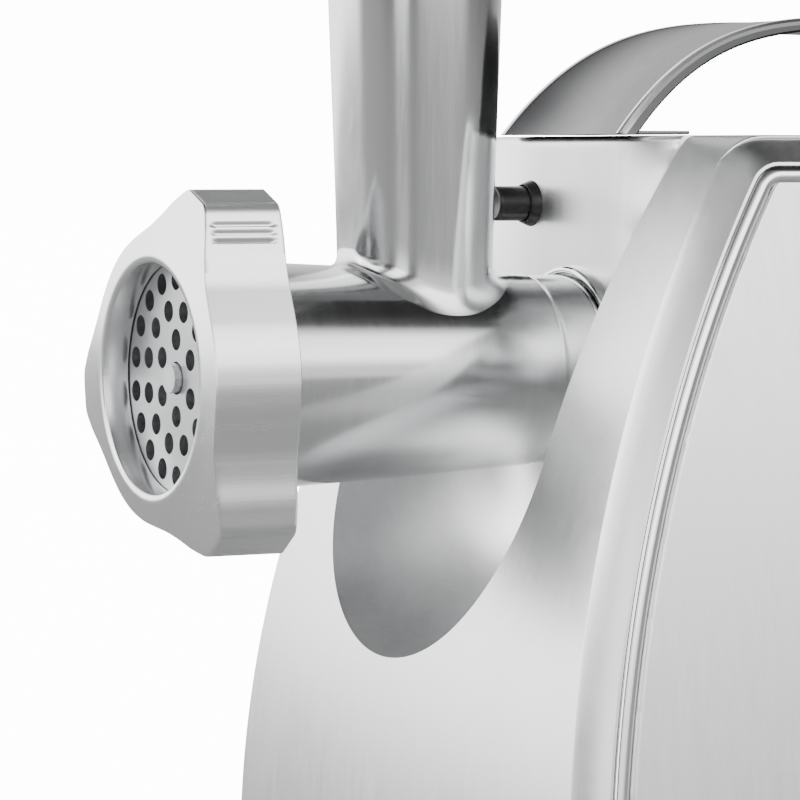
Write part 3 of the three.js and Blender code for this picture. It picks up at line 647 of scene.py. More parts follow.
@dataclass
class Housing:
    """The domed housing: both shells with the pocket and the vents, side panels and beads."""

    bench: Bench
    top: float = 58.0
    bottom: float = -159.0
    middle: float = 190.0
    bulge_height: float = -125.0
    bulge_depth: float = 61.8
    front_radius: float = 315.0
    half_at_axis: float = 73.4
    half_slope: float = 0.169
    half_curve: float = 0.00047
    crown: float = 7.0
    edge_radius: float = 6.5
    edge_flat: float = 0.8
    top_radius: float = 7.0
    knee_share: float = 0.7
    top_share: float = 0.8
    end_share: float = 0.9999
    seam_gap: float = 0.15
    shell_wall: float = 1.2
    lip_inset: float = 7.25
    lip_depth: float = 2.5
    panel_inset: float = 12.0
    panel_top: float = 49.5
    panel_round: float = 4.2
    panel_sink: float = 0.1
    panel_lip_depth: float = 1.5
    panel_wall: float = 1.0
    bead_inset: float = 7.3
    bead_width: float = 4.0
    bead_crest: float = 0.75
    bead_fullness: float = 0.7
    bead_end: float = 0.9995
    groove_depth: float = 2.0
    groove_width: float = 1.2
    groove_side: float = 0.35
    groove_floor: float = 0.3
    bead_wall: float = 0.8
    pocket_wall: float = 112.0
    pocket_radius: float = 50.0
    pocket_centre: float = -20.0
    pocket_blend: float = 36.0
    pocket_taper: float = 0.04
    wall_least: float = 6.0
    pocket_side: float = 0.3
    brow: float = 2.4
    side_cells: int = 76
    side_crowding: float = 1.25
    band_cells: int = 40
    flank_cells: int = 18
    wall_cells: int = 20
    brow_cells: int = 8
    top_cells: int = 12
    knee_cells: int = 16
    corner_cells: int = 6
    rear_cells: int = 48
    panel_cells: tuple[int, int] = (120, 110)
    bead_cells: tuple[int, int] = (160, 20)
    rear_shares: tuple[float, ...] = (1 / 12, 4 / 12, 8 / 12, 1.0)
    vents: int = 6
    vent_low: float = -90.0
    vent_pitch: float = 11.0
    vent_half: float = 34.0
    vent_open: float = 1.9
    vent_cells: int = 60
    side_share: float = 0.38
    core: Spot = (0.0, 190.0, -60.0)

    @property
    def knee(self) -> float:
        """Height at which the front starts to turn into the top."""
        return self.top - self.top_radius

    def front_line(self, z: float) -> float:
        """Depth of the front corner line at height z."""
        rise = z - self.bulge_height
        return self.bulge_depth + self.front_radius - math.sqrt(self.front_radius ** 2 - rise ** 2)

    def half_width(self, z: float) -> float:
        """Half the front's width between its corner lines at height z."""
        return self.half_at_axis - self.half_slope * z - self.half_curve * z * z

    def front(self, x: float, z: float) -> float:
        """Depth of the crowned front at x and z."""
        return self.front_line(z) - self.crown * (1 - (x / self.half_width(z)) ** 2)

    def corner_path(self, t: float) -> tuple[float, float, float, float]:
        """A point on the side view's outline, from the bottom front to the middle of the top.

        Args:
            t: 0 at the bottom, knee_share where the top edge starts to turn, top_share on the top.

        Returns:
            y, z and the outward direction's y and z.
        """
        knee = self.knee
        if t <= self.knee_share:
            z = blend(self.bottom, knee, t / self.knee_share)
            slope = (z - self.bulge_height) / self.front_radius
            return self.front_line(z), z, -math.sqrt(1 - slope ** 2), slope
        lean = math.asin((knee - self.bulge_height) / self.front_radius)
        y = self.front_line(knee)
        r = self.top_radius / (1 - math.sin(lean))
        if t <= self.top_share:
            turned = (t - self.knee_share) / (self.top_share - self.knee_share)
            a = blend(lean, math.pi / 2, turned)
            return (y + r * (math.cos(lean) - math.cos(a)), knee + r * (math.sin(a) - math.sin(lean)),
                    -math.cos(a), math.sin(a))
        along = (t - self.top_share) / (1 - self.top_share)
        return blend(y + r * math.cos(lean), self.middle, along), self.top, 0.0, 1.0

    def side_point(self, t: float, inset: float, proud: float = 0.0) -> Spot:
        """A point on the right side, inset from the outline along its inward direction.

        Args:
            t: Where along the outline.
            inset: How far in from the outline.
            proud: How far it stands out of the side.

        Returns:
            x, y and z.
        """
        y, z, ny, nz = self.corner_path(t)
        low = z - inset * nz
        return self.half_width(low) + self.edge_radius + proud, y - inset * ny, low

    def corner_point(self, t: float, a: float) -> Spot:
        """A point on the right bevelled corner.

        Args:
            t: Where along the outline.
            a: 0 on the front's corner line, 1 on the side.

        Returns:
            x, y and z.
        """
        y, z, ny, nz = self.corner_path(t)
        turn = a * math.pi / 2
        out = blend(math.sin(turn), a, self.edge_flat)
        drop = self.edge_radius * blend(1 - math.cos(turn), a, self.edge_flat)
        return self.half_width(z - drop * nz) + self.edge_radius * out, y - drop * ny, z - drop * nz

    def pocket_half(self, z: float) -> float:
        """Half the pocket's width on the front at a height above its round bottom."""
        return self.pocket_radius - self.pocket_taper * max(0.0, z - self.pocket_centre)

    def pocket_edge(self, t: float, top: float) -> tuple[float, float]:
        """The pocket's outline on the front.

        Args:
            t: 0 at the top left, 0.5 at the bottom, 1 at the top right.
            top: The height at which it starts and ends.

        Returns:
            x and z.
        """
        side = self.pocket_side
        if t < side or t > 1 - side:
            share = t / side if t < side else (1 - t) / side
            z = blend(top, self.pocket_centre, share)
            return math.copysign(self.pocket_half(z), t - 0.5), z
        turn = math.pi * (t - side) / (1 - 2 * side)
        r = self.pocket_half(self.pocket_centre)
        return -r * math.cos(turn), self.pocket_centre - self.pocket_radius * math.sin(turn)

    def frame_edge(self, t: float, top: float) -> tuple[float, float]:
        """The front's own outline, matched to the pocket's by t.

        Args:
            t: 0 at the top left, 0.5 at the bottom, 1 at the top right.
            top: The height at which it starts and ends.

        Returns:
            x and z.
        """
        side = self.side_share
        if t < side or t > 1 - side:
            share = t / side if t < side else (1 - t) / side
            z = blend(top, self.bottom, share ** self.side_crowding)
            return math.copysign(self.half_width(z), t - 0.5), z
        return self.half_width(self.bottom) * blend(-1, 1, (t - side) / (1 - 2 * side)), self.bottom

    def scoop(self, t: float, a: float, top: float) -> Spot:
        """A point on the pocket's soft flank.

        Args:
            t: Where along the pocket's outline.
            a: 0 at the pocket's edge, 1 on its flat wall.
            top: The height at which the outline starts and ends.

        Returns:
            x, y and z.
        """
        x, z = self.pocket_edge(t, top)
        inner_x, inner_z = self.scoop_floor(t, top)
        turn = a * math.pi / 2
        inward = 1 - math.cos(turn)
        depth = blend(self.front(x, z), self.pocket_wall, math.sin(turn))
        return blend(x, inner_x, inward), depth, blend(z, inner_z, inward)

    def scoop_floor(self, t: float, top: float) -> tuple[float, float]:
        """The outline of the pocket's flat wall, matched to its edge by t.

        Args:
            t: Where along the pocket's outline.
            top: The height at which the outline starts and ends.

        Returns:
            x and z.
        """
        x, z = self.pocket_edge(t, top)
        if z > self.pocket_centre:
            return math.copysign(max(abs(x) - self.pocket_blend, self.wall_least), x), z
        share = (self.pocket_radius - self.pocket_blend) / self.pocket_radius
        return x * share, self.pocket_centre + (z - self.pocket_centre) * share

    def heights(self) -> list[float]:
        """Heights from the knee down to the bottom, shared by the front and its corners."""
        shares = [(i / self.side_cells) ** self.side_crowding for i in range(self.side_cells + 1)]
        return [blend(self.knee, self.bottom, share) for share in shares]

    def corner_shares(self) -> list[float]:
        """Where along the outline the corners are sampled, from the bottom to the middle of the top."""
        tall = self.knee - self.bottom
        below = [self.knee_share * (z - self.bottom) / tall for z in reversed(self.heights())]
        turned = [blend(self.knee_share, self.top_share, (i + 1) / self.knee_cells)
                  for i in range(self.knee_cells)]
        return below + turned + [blend(self.top_share, self.end_share, (i + 1) / self.top_cells)
                                 for i in range(self.top_cells)]

    def brow_row(self, edge: Loop, t: float) -> Loop:
        """One row of the turn from the front into the top.

        Args:
            edge: The front's top edge, from left to right.
            t: 0 on that edge, 1 where the top is flat.

        Returns:
            The row's points.
        """
        row = []
        for x, y, z in edge:
            slope = self.front(x, z) - self.front(x, z - 1.0) if abs(x) > self.pocket_half(z) - 0.01 else 0.0
            reach = (self.top - z) * slope
            leg = (self.top - z) * math.hypot(1.0, slope)
            depth = y + reach * 2 * t * (1 - t) + (reach + leg) * t * t
            row.append((x, depth, z * (1 - t) ** 2 + self.top * (1 - (1 - t) ** 2)))
        return row

    def build_front_shell(self) -> None:
        """The front shell: front, pocket, top edge, top and both corners."""
        work = Workpiece("front_casing")
        high = self.top - self.brow
        columns = round(self.side_cells / self.side_share)
        bands, flanks, walls = self.band_cells, self.flank_cells, self.wall_cells

        def band(u: float, v: float) -> Spot:
            """A point on the front, from the pocket's edge at v = 0 to its own outline."""
            inner, outer = self.pocket_edge(u, high), self.frame_edge(u, self.knee)
            x, z = blend(inner[0], outer[0], v), blend(inner[1], outer[1], v)
            return x, self.front(x, z), z

        def wall(u: float, v: float) -> Spot:
            """A point on the pocket's flat wall, from the top down and from left to right."""
            x, z = self.scoop_floor(u / 2, high)
            return blend(x, -x, v), self.pocket_wall, z

        def flank(u: float, v: float) -> Spot:
            """A point on the pocket's soft flank."""
            return self.scoop(u, v, high)

        work.patch(columns, bands, band)
        work.patch(columns, flanks, flank)
        work.patch(columns // 2, walls, wall)
        edge = [band(0, 1 - i / bands) for i in range(bands)] + [flank(0, i / flanks) for i in range(flanks)]
        edge += [wall(0, i / walls) for i in range(walls)]
        edge += [flank(1, 1 - i / flanks) for i in range(flanks)]
        edge += [band(1, i / bands) for i in range(bands + 1)]
        self.add_top(work, edge, [(i + 1) / self.top_cells for i in range(self.top_cells)])
        self.add_corners(work)
        work.finish(self.bench, Look.SHELL, "housing", ["front_shell"], 30, self.core, self.shell_wall)

    def add_top(self, work: Workpiece, edge: Loop, shares: Sequence[float]) -> None:
        """Adds the turn from the front into the top, and the top as far as the seam.

        Args:
            work: The shell's mesh.
            edge: The front's top edge, from left to right.
            shares: Where the top's rows lie between the turn and the seam.
        """
        rows = [self.brow_row(edge, i / self.brow_cells) for i in range(self.brow_cells + 1)]
        seam = self.middle - self.seam_gap
        rows += [[(x, blend(y, seam, share), z) for x, y, z in rows[self.brow_cells]] for share in shares]
        work.skin(rows)

    def add_corners(self, work: Workpiece) -> None:
        """Adds both bevelled corners and the lips that turn in beside the beads.

        Args:
            work: The shell's mesh.
        """
        shares, cells = self.corner_shares(), self.corner_cells
        strips = [[self.corner_point(t, v / cells) for t in shares] for v in range(cells + 1)]
        for down in (0.0, self.lip_depth):
            strips.append([self.side_point(t, self.lip_inset, -down) for t in shares])
        for side in (1, -1):
            work.skin([[(side * x, y, z) for x, y, z in strip] for strip in strips])

    def build_rear_shell(self) -> None:
        """The rear shell, alike but without a pocket."""
        work = Workpiece("rear_casing")
        rows = []
        for z in reversed(self.heights()):
            across = [self.half_width(z) * (i / self.rear_cells - 1) for i in range(2 * self.rear_cells + 1)]
            rows.append([(x, self.front(x, z), z) for x in across])
        work.skin(rows)
        self.add_top(work, rows[-1], self.rear_shares)
        self.add_corners(work)
        for vert in work.bm.verts:
            vert.co.y = 2 * self.middle - vert.co.y
        work.finish(self.bench, Look.SHELL, "housing", ["rear_shell"], 30, self.core, self.shell_wall)
        self.build_vents()

    def build_vents(self) -> None:
        """The dark cooling slots of the rear, each with a turned-in edge."""
        work = Workpiece("vent_slots")
        for i in range(self.vents):
            middle = self.vent_low + self.vent_pitch * i
            loops = []
            for k in range(self.vent_cells + 1):
                x = self.vent_half * math.sin(math.pi * (k / self.vent_cells - 0.5))
                end = min(1.0, (self.vent_half - abs(x)) / self.vent_open)
                open_by = self.vent_open * math.sqrt(max(1 - (1 - end) ** 2, 0.0)) + 0.01
                lip = [(-open_by - 0.5, -0.8), (-open_by - 0.4, 0.3), (-open_by, 0.42),
                       (-open_by * 0.8, -0.05)]
                section = lip + [(-up, out) for up, out in reversed(lip)]
                loops.append([(x, 2 * self.middle - self.front(x, middle + up) + out, middle + up)
                              for up, out in section])
            work.skin(loops)
        work.finish(self.bench, Look.BLACK, "housing", [], core=self.core)

    def build_sides(self) -> None:
        """The brushed side panels and the polished beads around them."""
        for side, name in ((1, "right"), (-1, "left")):
            panel = Workpiece(f"panel_{name}")
            panel.patch(*self.panel_cells, self.panel_point)
            panel.patch(self.panel_cells[0], 2, self.panel_lip)
            bead = Workpiece(f"bead_{name}")
            bead.patch(*self.bead_cells, self.bead_point)
            for vert in bead.patch(*self.bead_cells, self.bead_point):
                vert.co.y = 2 * self.middle - vert.co.y
            for work in (panel, bead):
                bmesh.ops.scale(work.bm, vec=(side, 1, 1), verts=work.bm.verts[:])
            panel.finish(self.bench, Look.PANEL, "housing", [f"side_panel_{name}"], core=self.core,
                         wall=self.panel_wall)
            bead.finish(self.bench, Look.TRIM, "housing", [f"edge_bead_{name}"], core=self.core,
                        wall=self.bead_wall)

    def panel_ends(self, z: float) -> float:
        """Where the side panel's front edge lies, rounded at its top corner.

        Args:
            z: The height.

        Returns:
            The edge's depth.
        """
        r = self.front_radius - self.panel_inset
        y = self.bulge_depth + self.front_radius - math.sqrt(r ** 2 - (z - self.bulge_height) ** 2)
        over = z - (self.panel_top - self.panel_round)
        if over > 0:
            y += self.panel_round - math.sqrt(max(self.panel_round ** 2 - over ** 2, 0.0))
        return y

    def panel_point(self, u: float, v: float) -> Spot:
        """A point on the right side panel."""
        z = blend(self.bottom, self.panel_top, v)
        y = self.panel_ends(z)
        x = self.half_width(z) + self.edge_radius - self.panel_sink
        return x, blend(y, 2 * self.middle - y, u), z

    def panel_lip(self, u: float, v: float) -> Spot:
        """A point on the panel's edge where it turns in at the seam."""
        x, y, z = self.panel_point(0.0 if u < 0.5 else 1.0, 1 - abs(2 * u - 1))
        return x - self.panel_lip_depth * v, y, z

    def bead_point(self, u: float, v: float) -> Spot:
        """A point on the right bead's front half.

        Args:
            u: 0 at the bottom, 1 at the middle of the top.
            v: Over the half round up to bead_crest, then down into the groove by the panel.

        Returns:
            x, y and z.
        """
        along = min(u, self.bead_end)
        if v <= self.bead_crest:
            t = v / self.bead_crest
            proud = math.sin(math.pi * t) ** self.bead_fullness
            return self.side_point(along, self.bead_inset + self.bead_width * t, proud)
        t = (v - self.bead_crest) / (1 - self.bead_crest)
        across = self.groove_width * ease((t - self.groove_side) / self.groove_floor)
        return self.side_point(along, self.bead_inset + self.bead_width + across,
                               -self.groove_depth * min(1.0, t / self.groove_side))


# ---------------------------------------------------------------- carry handle

@dataclass
class CarryHandle:
    """The strap over the housing's top, with a bright raised rim along both edges."""

    bench: Bench
    seat: float = 58.3
    rise: float = 26.7
    foot: float = 111.0
    toe: float = 2.4
    middle: float = 190.0
    thick: float = 3.0
    foot_half: float = 30.0
    middle_half: float = 26.0
    rim: float = 2.6
    arch: float = 3.4
    foot_swell: float = 1.2
    tab: float = 20.0
    tab_half: float = 26.0
    tab_thick: float = 0.9
    sections: int = 96
    trim: Profile = ((0.0, 1.6), (-0.14, 0.7), (0.25, 0.02), (0.8, -0.14), (1.7, -0.14), (2.3, 0.02),
                     (2.5, 0.4))

    def reach(self, y: float) -> float:
        """How far depth y is from the strap's middle, 1 at its feet."""
        return abs(y - self.middle) / (self.middle - self.foot)

    def outer(self, y: float) -> float:
        """Height of the strap's outer face at depth y."""
        return self.seat + self.thick + self.rise * (1 - self.reach(y) ** self.arch)

    def half(self, y: float) -> float:
        """Half the strap's width at depth y."""
        return blend(self.middle_half, self.foot_half, self.reach(y) ** 2) - 0.2

    def lean(self, y: float) -> tuple[float, float]:
        """The outward direction of the strap in the side view."""
        slope = (self.outer(y + 0.05) - self.outer(y - 0.05)) / 0.1
        size = math.hypot(slope, 1.0)
        return -slope / size, 1.0 / size

    def section(self, y: float) -> Loop:
        """The strap's outline square to its length.

        Args:
            y: The depth at the outer face.

        Returns:
            The outline, closed.
        """
        half, top = self.half(y), self.outer(y)
        ny, nz = self.lean(y)
        deep = self.thick + self.foot_swell * self.reach(y)
        near = [(0.0, 1.0), (0.0, 0.6), (0.5, 0.12), (0.9, 0.0), (self.rim - 0.3, 0.0), (self.rim, 0.12),
                (self.rim + 0.2, 0.24)]
        across = [(x - half, down) for x, down in near] + [(0.0, 0.27)]
        across += [(half - x, down) for x, down in reversed(near)]
        under = [(half, deep - 0.6), (half - 0.6, deep), (0.0, deep), (0.6 - half, deep),
                 (-half, deep - 0.6)]
        loop = [(x, y - down * ny, max(top - down * nz, self.seat)) for x, down in across + under]
        return loop + loop[:1]

    def build(self) -> None:
        """The bent strap and its two flat tabs."""
        strap = Workpiece("carry_strap")
        reach = self.middle - self.foot + self.toe
        spots = [self.middle - reach * math.cos(math.pi * i / self.sections)
                 for i in range(self.sections + 1)]
        strap.skin([self.section(y) for y in spots])
        strap.close_ends()
        for side in (-1, 1):
            span = self.middle - self.foot
            ends = sorted(self.middle + side * (span - inset) for inset in (0.6, self.tab))
            strap.block((-self.tab_half, ends[0], self.seat),
                        (self.tab_half, ends[1], self.seat + self.tab_thick), 0.3)
        strap.finish(self.bench, Look.HANDLE, "housing", ["carry_handle"])
        trim = Workpiece("carry_strap_rims")
        for side in (-1, 1):
            loops = []
            for y in spots[1:-1]:
                ny, nz = self.lean(y)
                loops.append([(side * (self.half(y) - x), y - d * ny,
                               max(self.outer(y) - d * nz, self.seat + 0.1)) for x, d in self.trim])
            trim.skin(loops)
        trim.finish(self.bench, Look.TRIM, "housing", [])


# ---------------------------------------------------------------- head and its ring

@dataclass
class GrinderHead:
    """The head: barrel, feed tube, ring nut and hole plate."""

    bench: Bench
    tube_depth: float = 68.0
    tube_foot: float = 19.0
    tube_head: float = 22.2
    tube_base: float = 20.0
    tube_top: float = 125.0
    saddle: float = 4.5
    tube_facets: int = 120
    taper: Profile = ((27.8, 19.5), (23.9, 96.4))
    barrel: Profile = (
        (30.2, 3.5), (33.0, 3.6), (33.0, 17.2), *taper, (23.9, 97.2), (23.4, 98.4), (23.4, 112.0),
        (20.5, 112.4), (20.5, 127.0), (12.6, 127.0), (12.6, 104.0), (20.7, 104.0), (20.7, 15.2),
        (29.9, 15.2), (29.9, 3.6), (30.2, 3.5))
    tube_bore: Profile = ((21.0, 125.0), (19.3, 124.4), (18.5, 90.0), (16.6, 27.0), (16.4, 23.0))
    depth: float = 19.8
    opening: float = 27.6
    base: float = 35.3
    wing: float = 47.7
    wing_half: float = 4.2
    first_wing: float = 23.5
    thread: float = 33.4
    outline_step: float = 0.28
    bore_floor: float = 3.2
    mouth_edge: float = 30.0
    cone: tuple[float, float] = (29.8, 48.5)
    wing_depths: tuple[float, ...] = (0.2, 0.9, 1.8, 2.5, 3.1, 3.7, 6.0, 9.0, 12.0, 15.0, 15.4, 16.0, 16.6,
                                      17.6, 18.8, 19.4)
    groove_spots: tuple[float, ...] = (42.1, 43.45, 44.7)
    groove_half: float = 0.42
    groove_cut: float = 0.6
    groove_span: tuple[float, float] = (1.0, 17.4)
    wing_round: float = 46.4
    plate_radius: float = 29.5
    plate_front: float = 3.5
    plate_thick: float = 7.0
    key_half: float = 2.2
    key_bottom: float = 27.2
    hole_rings: tuple[tuple[float, int, float, float], ...] = (
        (0.0, 1, 4.0, 0.0), (9.2, 6, 2.6, 0.5), (16.4, 12, 2.6, 0.5), (23.6, 18, 2.6, 0.5))

    def barrel_radius(self, y: float) -> float:
        """The barrel's outer radius at depth y on its long taper."""
        (wide, near), (slim, far) = self.taper
        return blend(wide, slim, (y - near) / (far - near))

    def tube_radius(self, z: float) -> float:
        """The feed tube's outer radius at height z."""
        rise = (z - self.tube_base) / (self.tube_top - self.tube_base)
        return blend(self.tube_foot, self.tube_head, ease(rise) * 0.4 + rise * 0.6)

    def on_barrel(self, reach: float, a: float) -> Spot:
        """The point on the barrel's upper skin below a spot beside the tube's axis."""
        x = reach * math.cos(a)
        y = self.tube_depth + reach * math.sin(a)
        return x, y, math.sqrt(self.barrel_radius(y) ** 2 - x * x)

    def tube_loop(self, v: float, columns: int) -> Loop:
        """One outline round the feed tube.

        Args:
            v: 0 to 1 over the saddle, then 1 to 2 up to the rim.
            columns: Facets around.

        Returns:
            The outline, closed.
        """
        loop = []
        for i in range(columns + 1):
            a = 2 * math.pi * i / columns
            out = Vector((math.cos(a), math.sin(a), 0))
            mid = Vector(self.on_barrel(self.tube_foot, a))
            start = Vector(self.on_barrel(self.tube_foot + self.saddle, a)) - Vector((0, 0, 0.03))
            saddle_top = mid.z + self.saddle
            z = blend(saddle_top, self.tube_top, max(v - 1, 0.0))
            point = Vector((0, self.tube_depth, z)) + out * self.tube_radius(z)
            if v <= 1:
                point = start * (1 - v) ** 2 + mid * 2 * v * (1 - v) + point * v * v
            loop.append(tuple(point))
        return loop

    def build_casting(self) -> None:
        """The barrel and the tube, which flows into it over a soft saddle."""
        work = Workpiece("head_casting")
        work.turn(fillet(self.barrel, 1.0), Axis.Y, (0, 0, 0), 144)
        loops = [self.tube_loop(i / 8, self.tube_facets) for i in range(8)]
        loops += [self.tube_loop(1 + i / 14, self.tube_facets) for i in range(15)]
        for radius, z in self.tube_bore:
            ring = [(x, y, z) for x, y in round_hole(0, self.tube_depth, radius, self.tube_facets)]
            loops.append(ring + ring[:1])
        work.skin(loops)
        work.finish(self.bench, Look.HEAD, "head", ["head_barrel", "feed_tube"], 32)

    def ring_outline(self) -> list[tuple[float, float]]:
        """The ring nut's outline as radius and angle, evenly spaced along its edge."""
        tip = math.degrees(math.asin(self.wing_half / self.wing))
        third = [(-60, self.base), (-52, self.base), (-45, self.base), (-36, self.base + 0.3),
                 (-27, self.base + 1.5), (-19, self.base + 4.3), (-13, self.base + 7.9),
                 (-tip - 2.2, self.wing - 0.9)]
        corner = [(-tip, self.wing), (tip, self.wing)]
        shape = third + corner + [(-angle, radius) for angle, radius in reversed(third)]
        flat = []
        for i in range(3):
            for angle, radius in shape[:-1]:
                a = math.radians(self.first_wing + 120 * i + angle)
                flat.append((radius * math.sin(a), radius * math.cos(a)))
        seam = tuple((Vector(flat[0]) + Vector(flat[1])) / 2)
        soft = fillet([seam, *flat[1:], flat[0], seam], 1.7)
        even = [Vector(soft[0])]
        for point in soft[1:]:
            start = even[-1]
            gap = Vector(point) - start
            pieces = max(1, round(gap.length / self.outline_step))
            even += [start + gap * (k + 1) / pieces for k in range(pieces)]
        return [(point.length, math.atan2(point.x, point.y)) for point in even]

    def groove(self, radius: float, angle: float, y: float) -> float:
        """How deep the grip grooves cut at a spot on the outline.

        Args:
            radius: The outline's radius there.
            angle: The outline's angle there, in radians.
            y: The depth along the ring.

        Returns:
            The cut's depth.
        """
        side = math.degrees(angle) - self.first_wing
        side = (side + 60) % 120 - 60
        near, far = self.groove_span
        along = min(ease(y - near), ease(far - y))
        if side <= 0 or radius > self.wing_round:
            return 0.0
        cut = sum(max(0.0, 1 - ((radius - spot) / self.groove_half) ** 2) for spot in self.groove_spots)
        return self.groove_cut * cut * along

    def build_ring(self) -> None:
        """The ring nut: rounded lip, conical face, three wings with grip grooves, threaded bore."""
        work = Workpiece("wing_ring")
        mouth = [(self.thread, self.bore_floor), (self.opening, self.bore_floor), (self.opening, -2.9),
                 (self.opening + 0.25, -3.3), (self.opening + 0.8, -RING_LIP),
                 (self.mouth_edge - 0.4, -RING_LIP), (self.mouth_edge, -3.5)]
        columns = []
        for radius, angle in self.ring_outline():
            front = blend(-RING_LIP, 0.2, (radius - self.cone[0]) / (self.cone[1] - self.cone[0]))
            face = [(blend(self.mouth_edge, radius - 0.8, t), blend(-3.5, front - 0.06, t))
                    for t in (0.35, 0.7, 1.0)]
            face += [(radius - 0.3, front + 0.06), (radius - 0.04, front + 0.4)]
            wall = [(radius - self.groove(radius, angle, y), max(y, front + 0.75)) for y in self.wing_depths]
            back = [(radius - 0.25, self.depth - 0.1), (radius - 0.8, self.depth),
                    (self.thread + 0.6, self.depth), (self.thread, self.depth - 0.5), mouth[0]]
            section = mouth + face + wall + back
            columns.append([(r * math.sin(angle), y, r * math.cos(angle)) for r, y in section])
        work.skin(columns)
        work.finish(self.bench, Look.RING, "ring", ["ring_nut"], 34)

    def build_plate(self) -> None:
        """The hole plate, with round holes cut right through."""
        work = Workpiece("mincing_plate")
        turns = [math.radians(184.3 + 351.4 * i / 90) for i in range(91)]
        outline = [(self.plate_radius * math.sin(a), self.plate_radius * math.cos(a)) for a in turns]
        borders = [outline + [(self.key_half, -self.key_bottom), (-self.key_half, -self.key_bottom)]]
        for radius, count, hole, shift in self.hole_rings:
            for i in range(count):
                a = 2 * math.pi * (i + shift) / count
                borders.append(round_hole(radius * math.cos(a), radius * math.sin(a), hole, 24))
        work.cut_plate([[(x, self.plate_front, z) for x, z in border] for border in borders],
                       (0, -1, 0), (0, self.plate_thick, 0))
        work.finish(self.bench, Look.STEEL, "plate", ["hole_plate"], 32)


# ---------------------------------------------------------------- tray and pusher

@dataclass
class Feeding:
    """The tray on the feed tube and the pusher that stands in it."""

    bench: Bench
    centre: float = 68.0
    half_x: float = 110.0
    half_y: float = 56.0
    corner: float = 30.0
    floor: float = 125.3
    rim: float = 155.3
    wall: float = 2.0
    throat: float = 19.6
    steps: int = 16
    shank: Profile = (
        (0.0, 66.4), (13.0, 66.0), (15.6, 67.2), (16.2, 69.0), (16.2, 127.6), (24.6, 127.6), (25.0, 128.2),
        (24.6, 131.4), (23.2, 132.6), (14.0, 133.2), (11.6, 136.0), (11.2, 142.0), (12.4, 150.0),
        (16.0, 158.6), (20.6, 166.0), (22.0, 172.0), (20.8, 177.4), (16.5, 181.2), (9.0, 182.5),
        (0.0, 182.6))

    def outline(self, inset: float, z: float) -> Loop:
        """The tray's outline at one height, inset from its rim."""
        flat = round_box(self.half_x - inset, self.half_y - inset, self.corner - inset * 0.6, self.steps)
        return [(x, y + self.centre, z) for x, y in flat]

    def circle(self, radius: float, z: float) -> Loop:
        """A circle round the throat with as many points as the outline.

        Args:
            radius: Its radius.
            z: Its height.

        Returns:
            The circle, closed.
        """
        loop = []
        for x, y in round_box(self.half_x, self.half_y, self.corner, self.steps):
            a = math.atan2(y / self.half_y, x / self.half_x)
            loop.append((radius * math.cos(a), self.centre + radius * math.sin(a), z))
        return loop

    def build_tray(self) -> None:
        """The dished tray with a rolled rim and a collar that drops over the tube."""
        work = Workpiece("meat_tray")
        top, low, throat = self.rim, self.floor + self.wall, self.throat
        inner = [(throat, low - 1.0), (throat + 0.8, low - 0.2), (throat + 2.4, low), (23.5, low)]
        dish = [(27.0, low), (18.0, low), (15.2, low + 0.7), (13.2, low + 3.0), (10.5, low + 9),
                (8.0, top - 7.5), (6.0, top - 3.6), (4.4, top - 2.0), (2.4, top - 0.9)]
        roll = [(1.2, top - 0.2), (0.5, top - 0.2), (0.0, top - 0.9), (0.1, top - 2.2), (0.9, top - 2.9),
                (2.0, top - 3.0)]
        outside = [(5.4, top - 4.4), (9.6, top - 9), (12.2, low + 7), (14.8, low + 0.6), (17.4, self.floor),
                   (27.0, self.floor)]
        collar = [(26.6, self.floor), (25.6, self.floor), (25.5, 108.5), (24.9, 108.0), (23.4, 108.0),
                  (22.9, 108.6), (22.9, 124.6), (throat, 124.8), (throat, low - 1.0)]
        loops = [self.circle(radius, z) for radius, z in inner]
        loops += [self.outline(inset, z) for inset, z in dish + roll + outside]
        work.skin(loops + [self.circle(radius, z) for radius, z in collar])
        work.finish(self.bench, Look.TRAY, "tray", ["tray"], 40)

    def build_pusher(self) -> None:
        """The moulded pusher: shank, stop flange, waist and domed grip."""
        work = Workpiece("meat_pusher")
        work.turn(fillet(self.shank, 2.0), Axis.Z, (0, self.centre, 0), 96)
        work.finish(self.bench, Look.BLACK, "pusher", ["pusher"], 50)


# ---------------------------------------------------------------- small parts

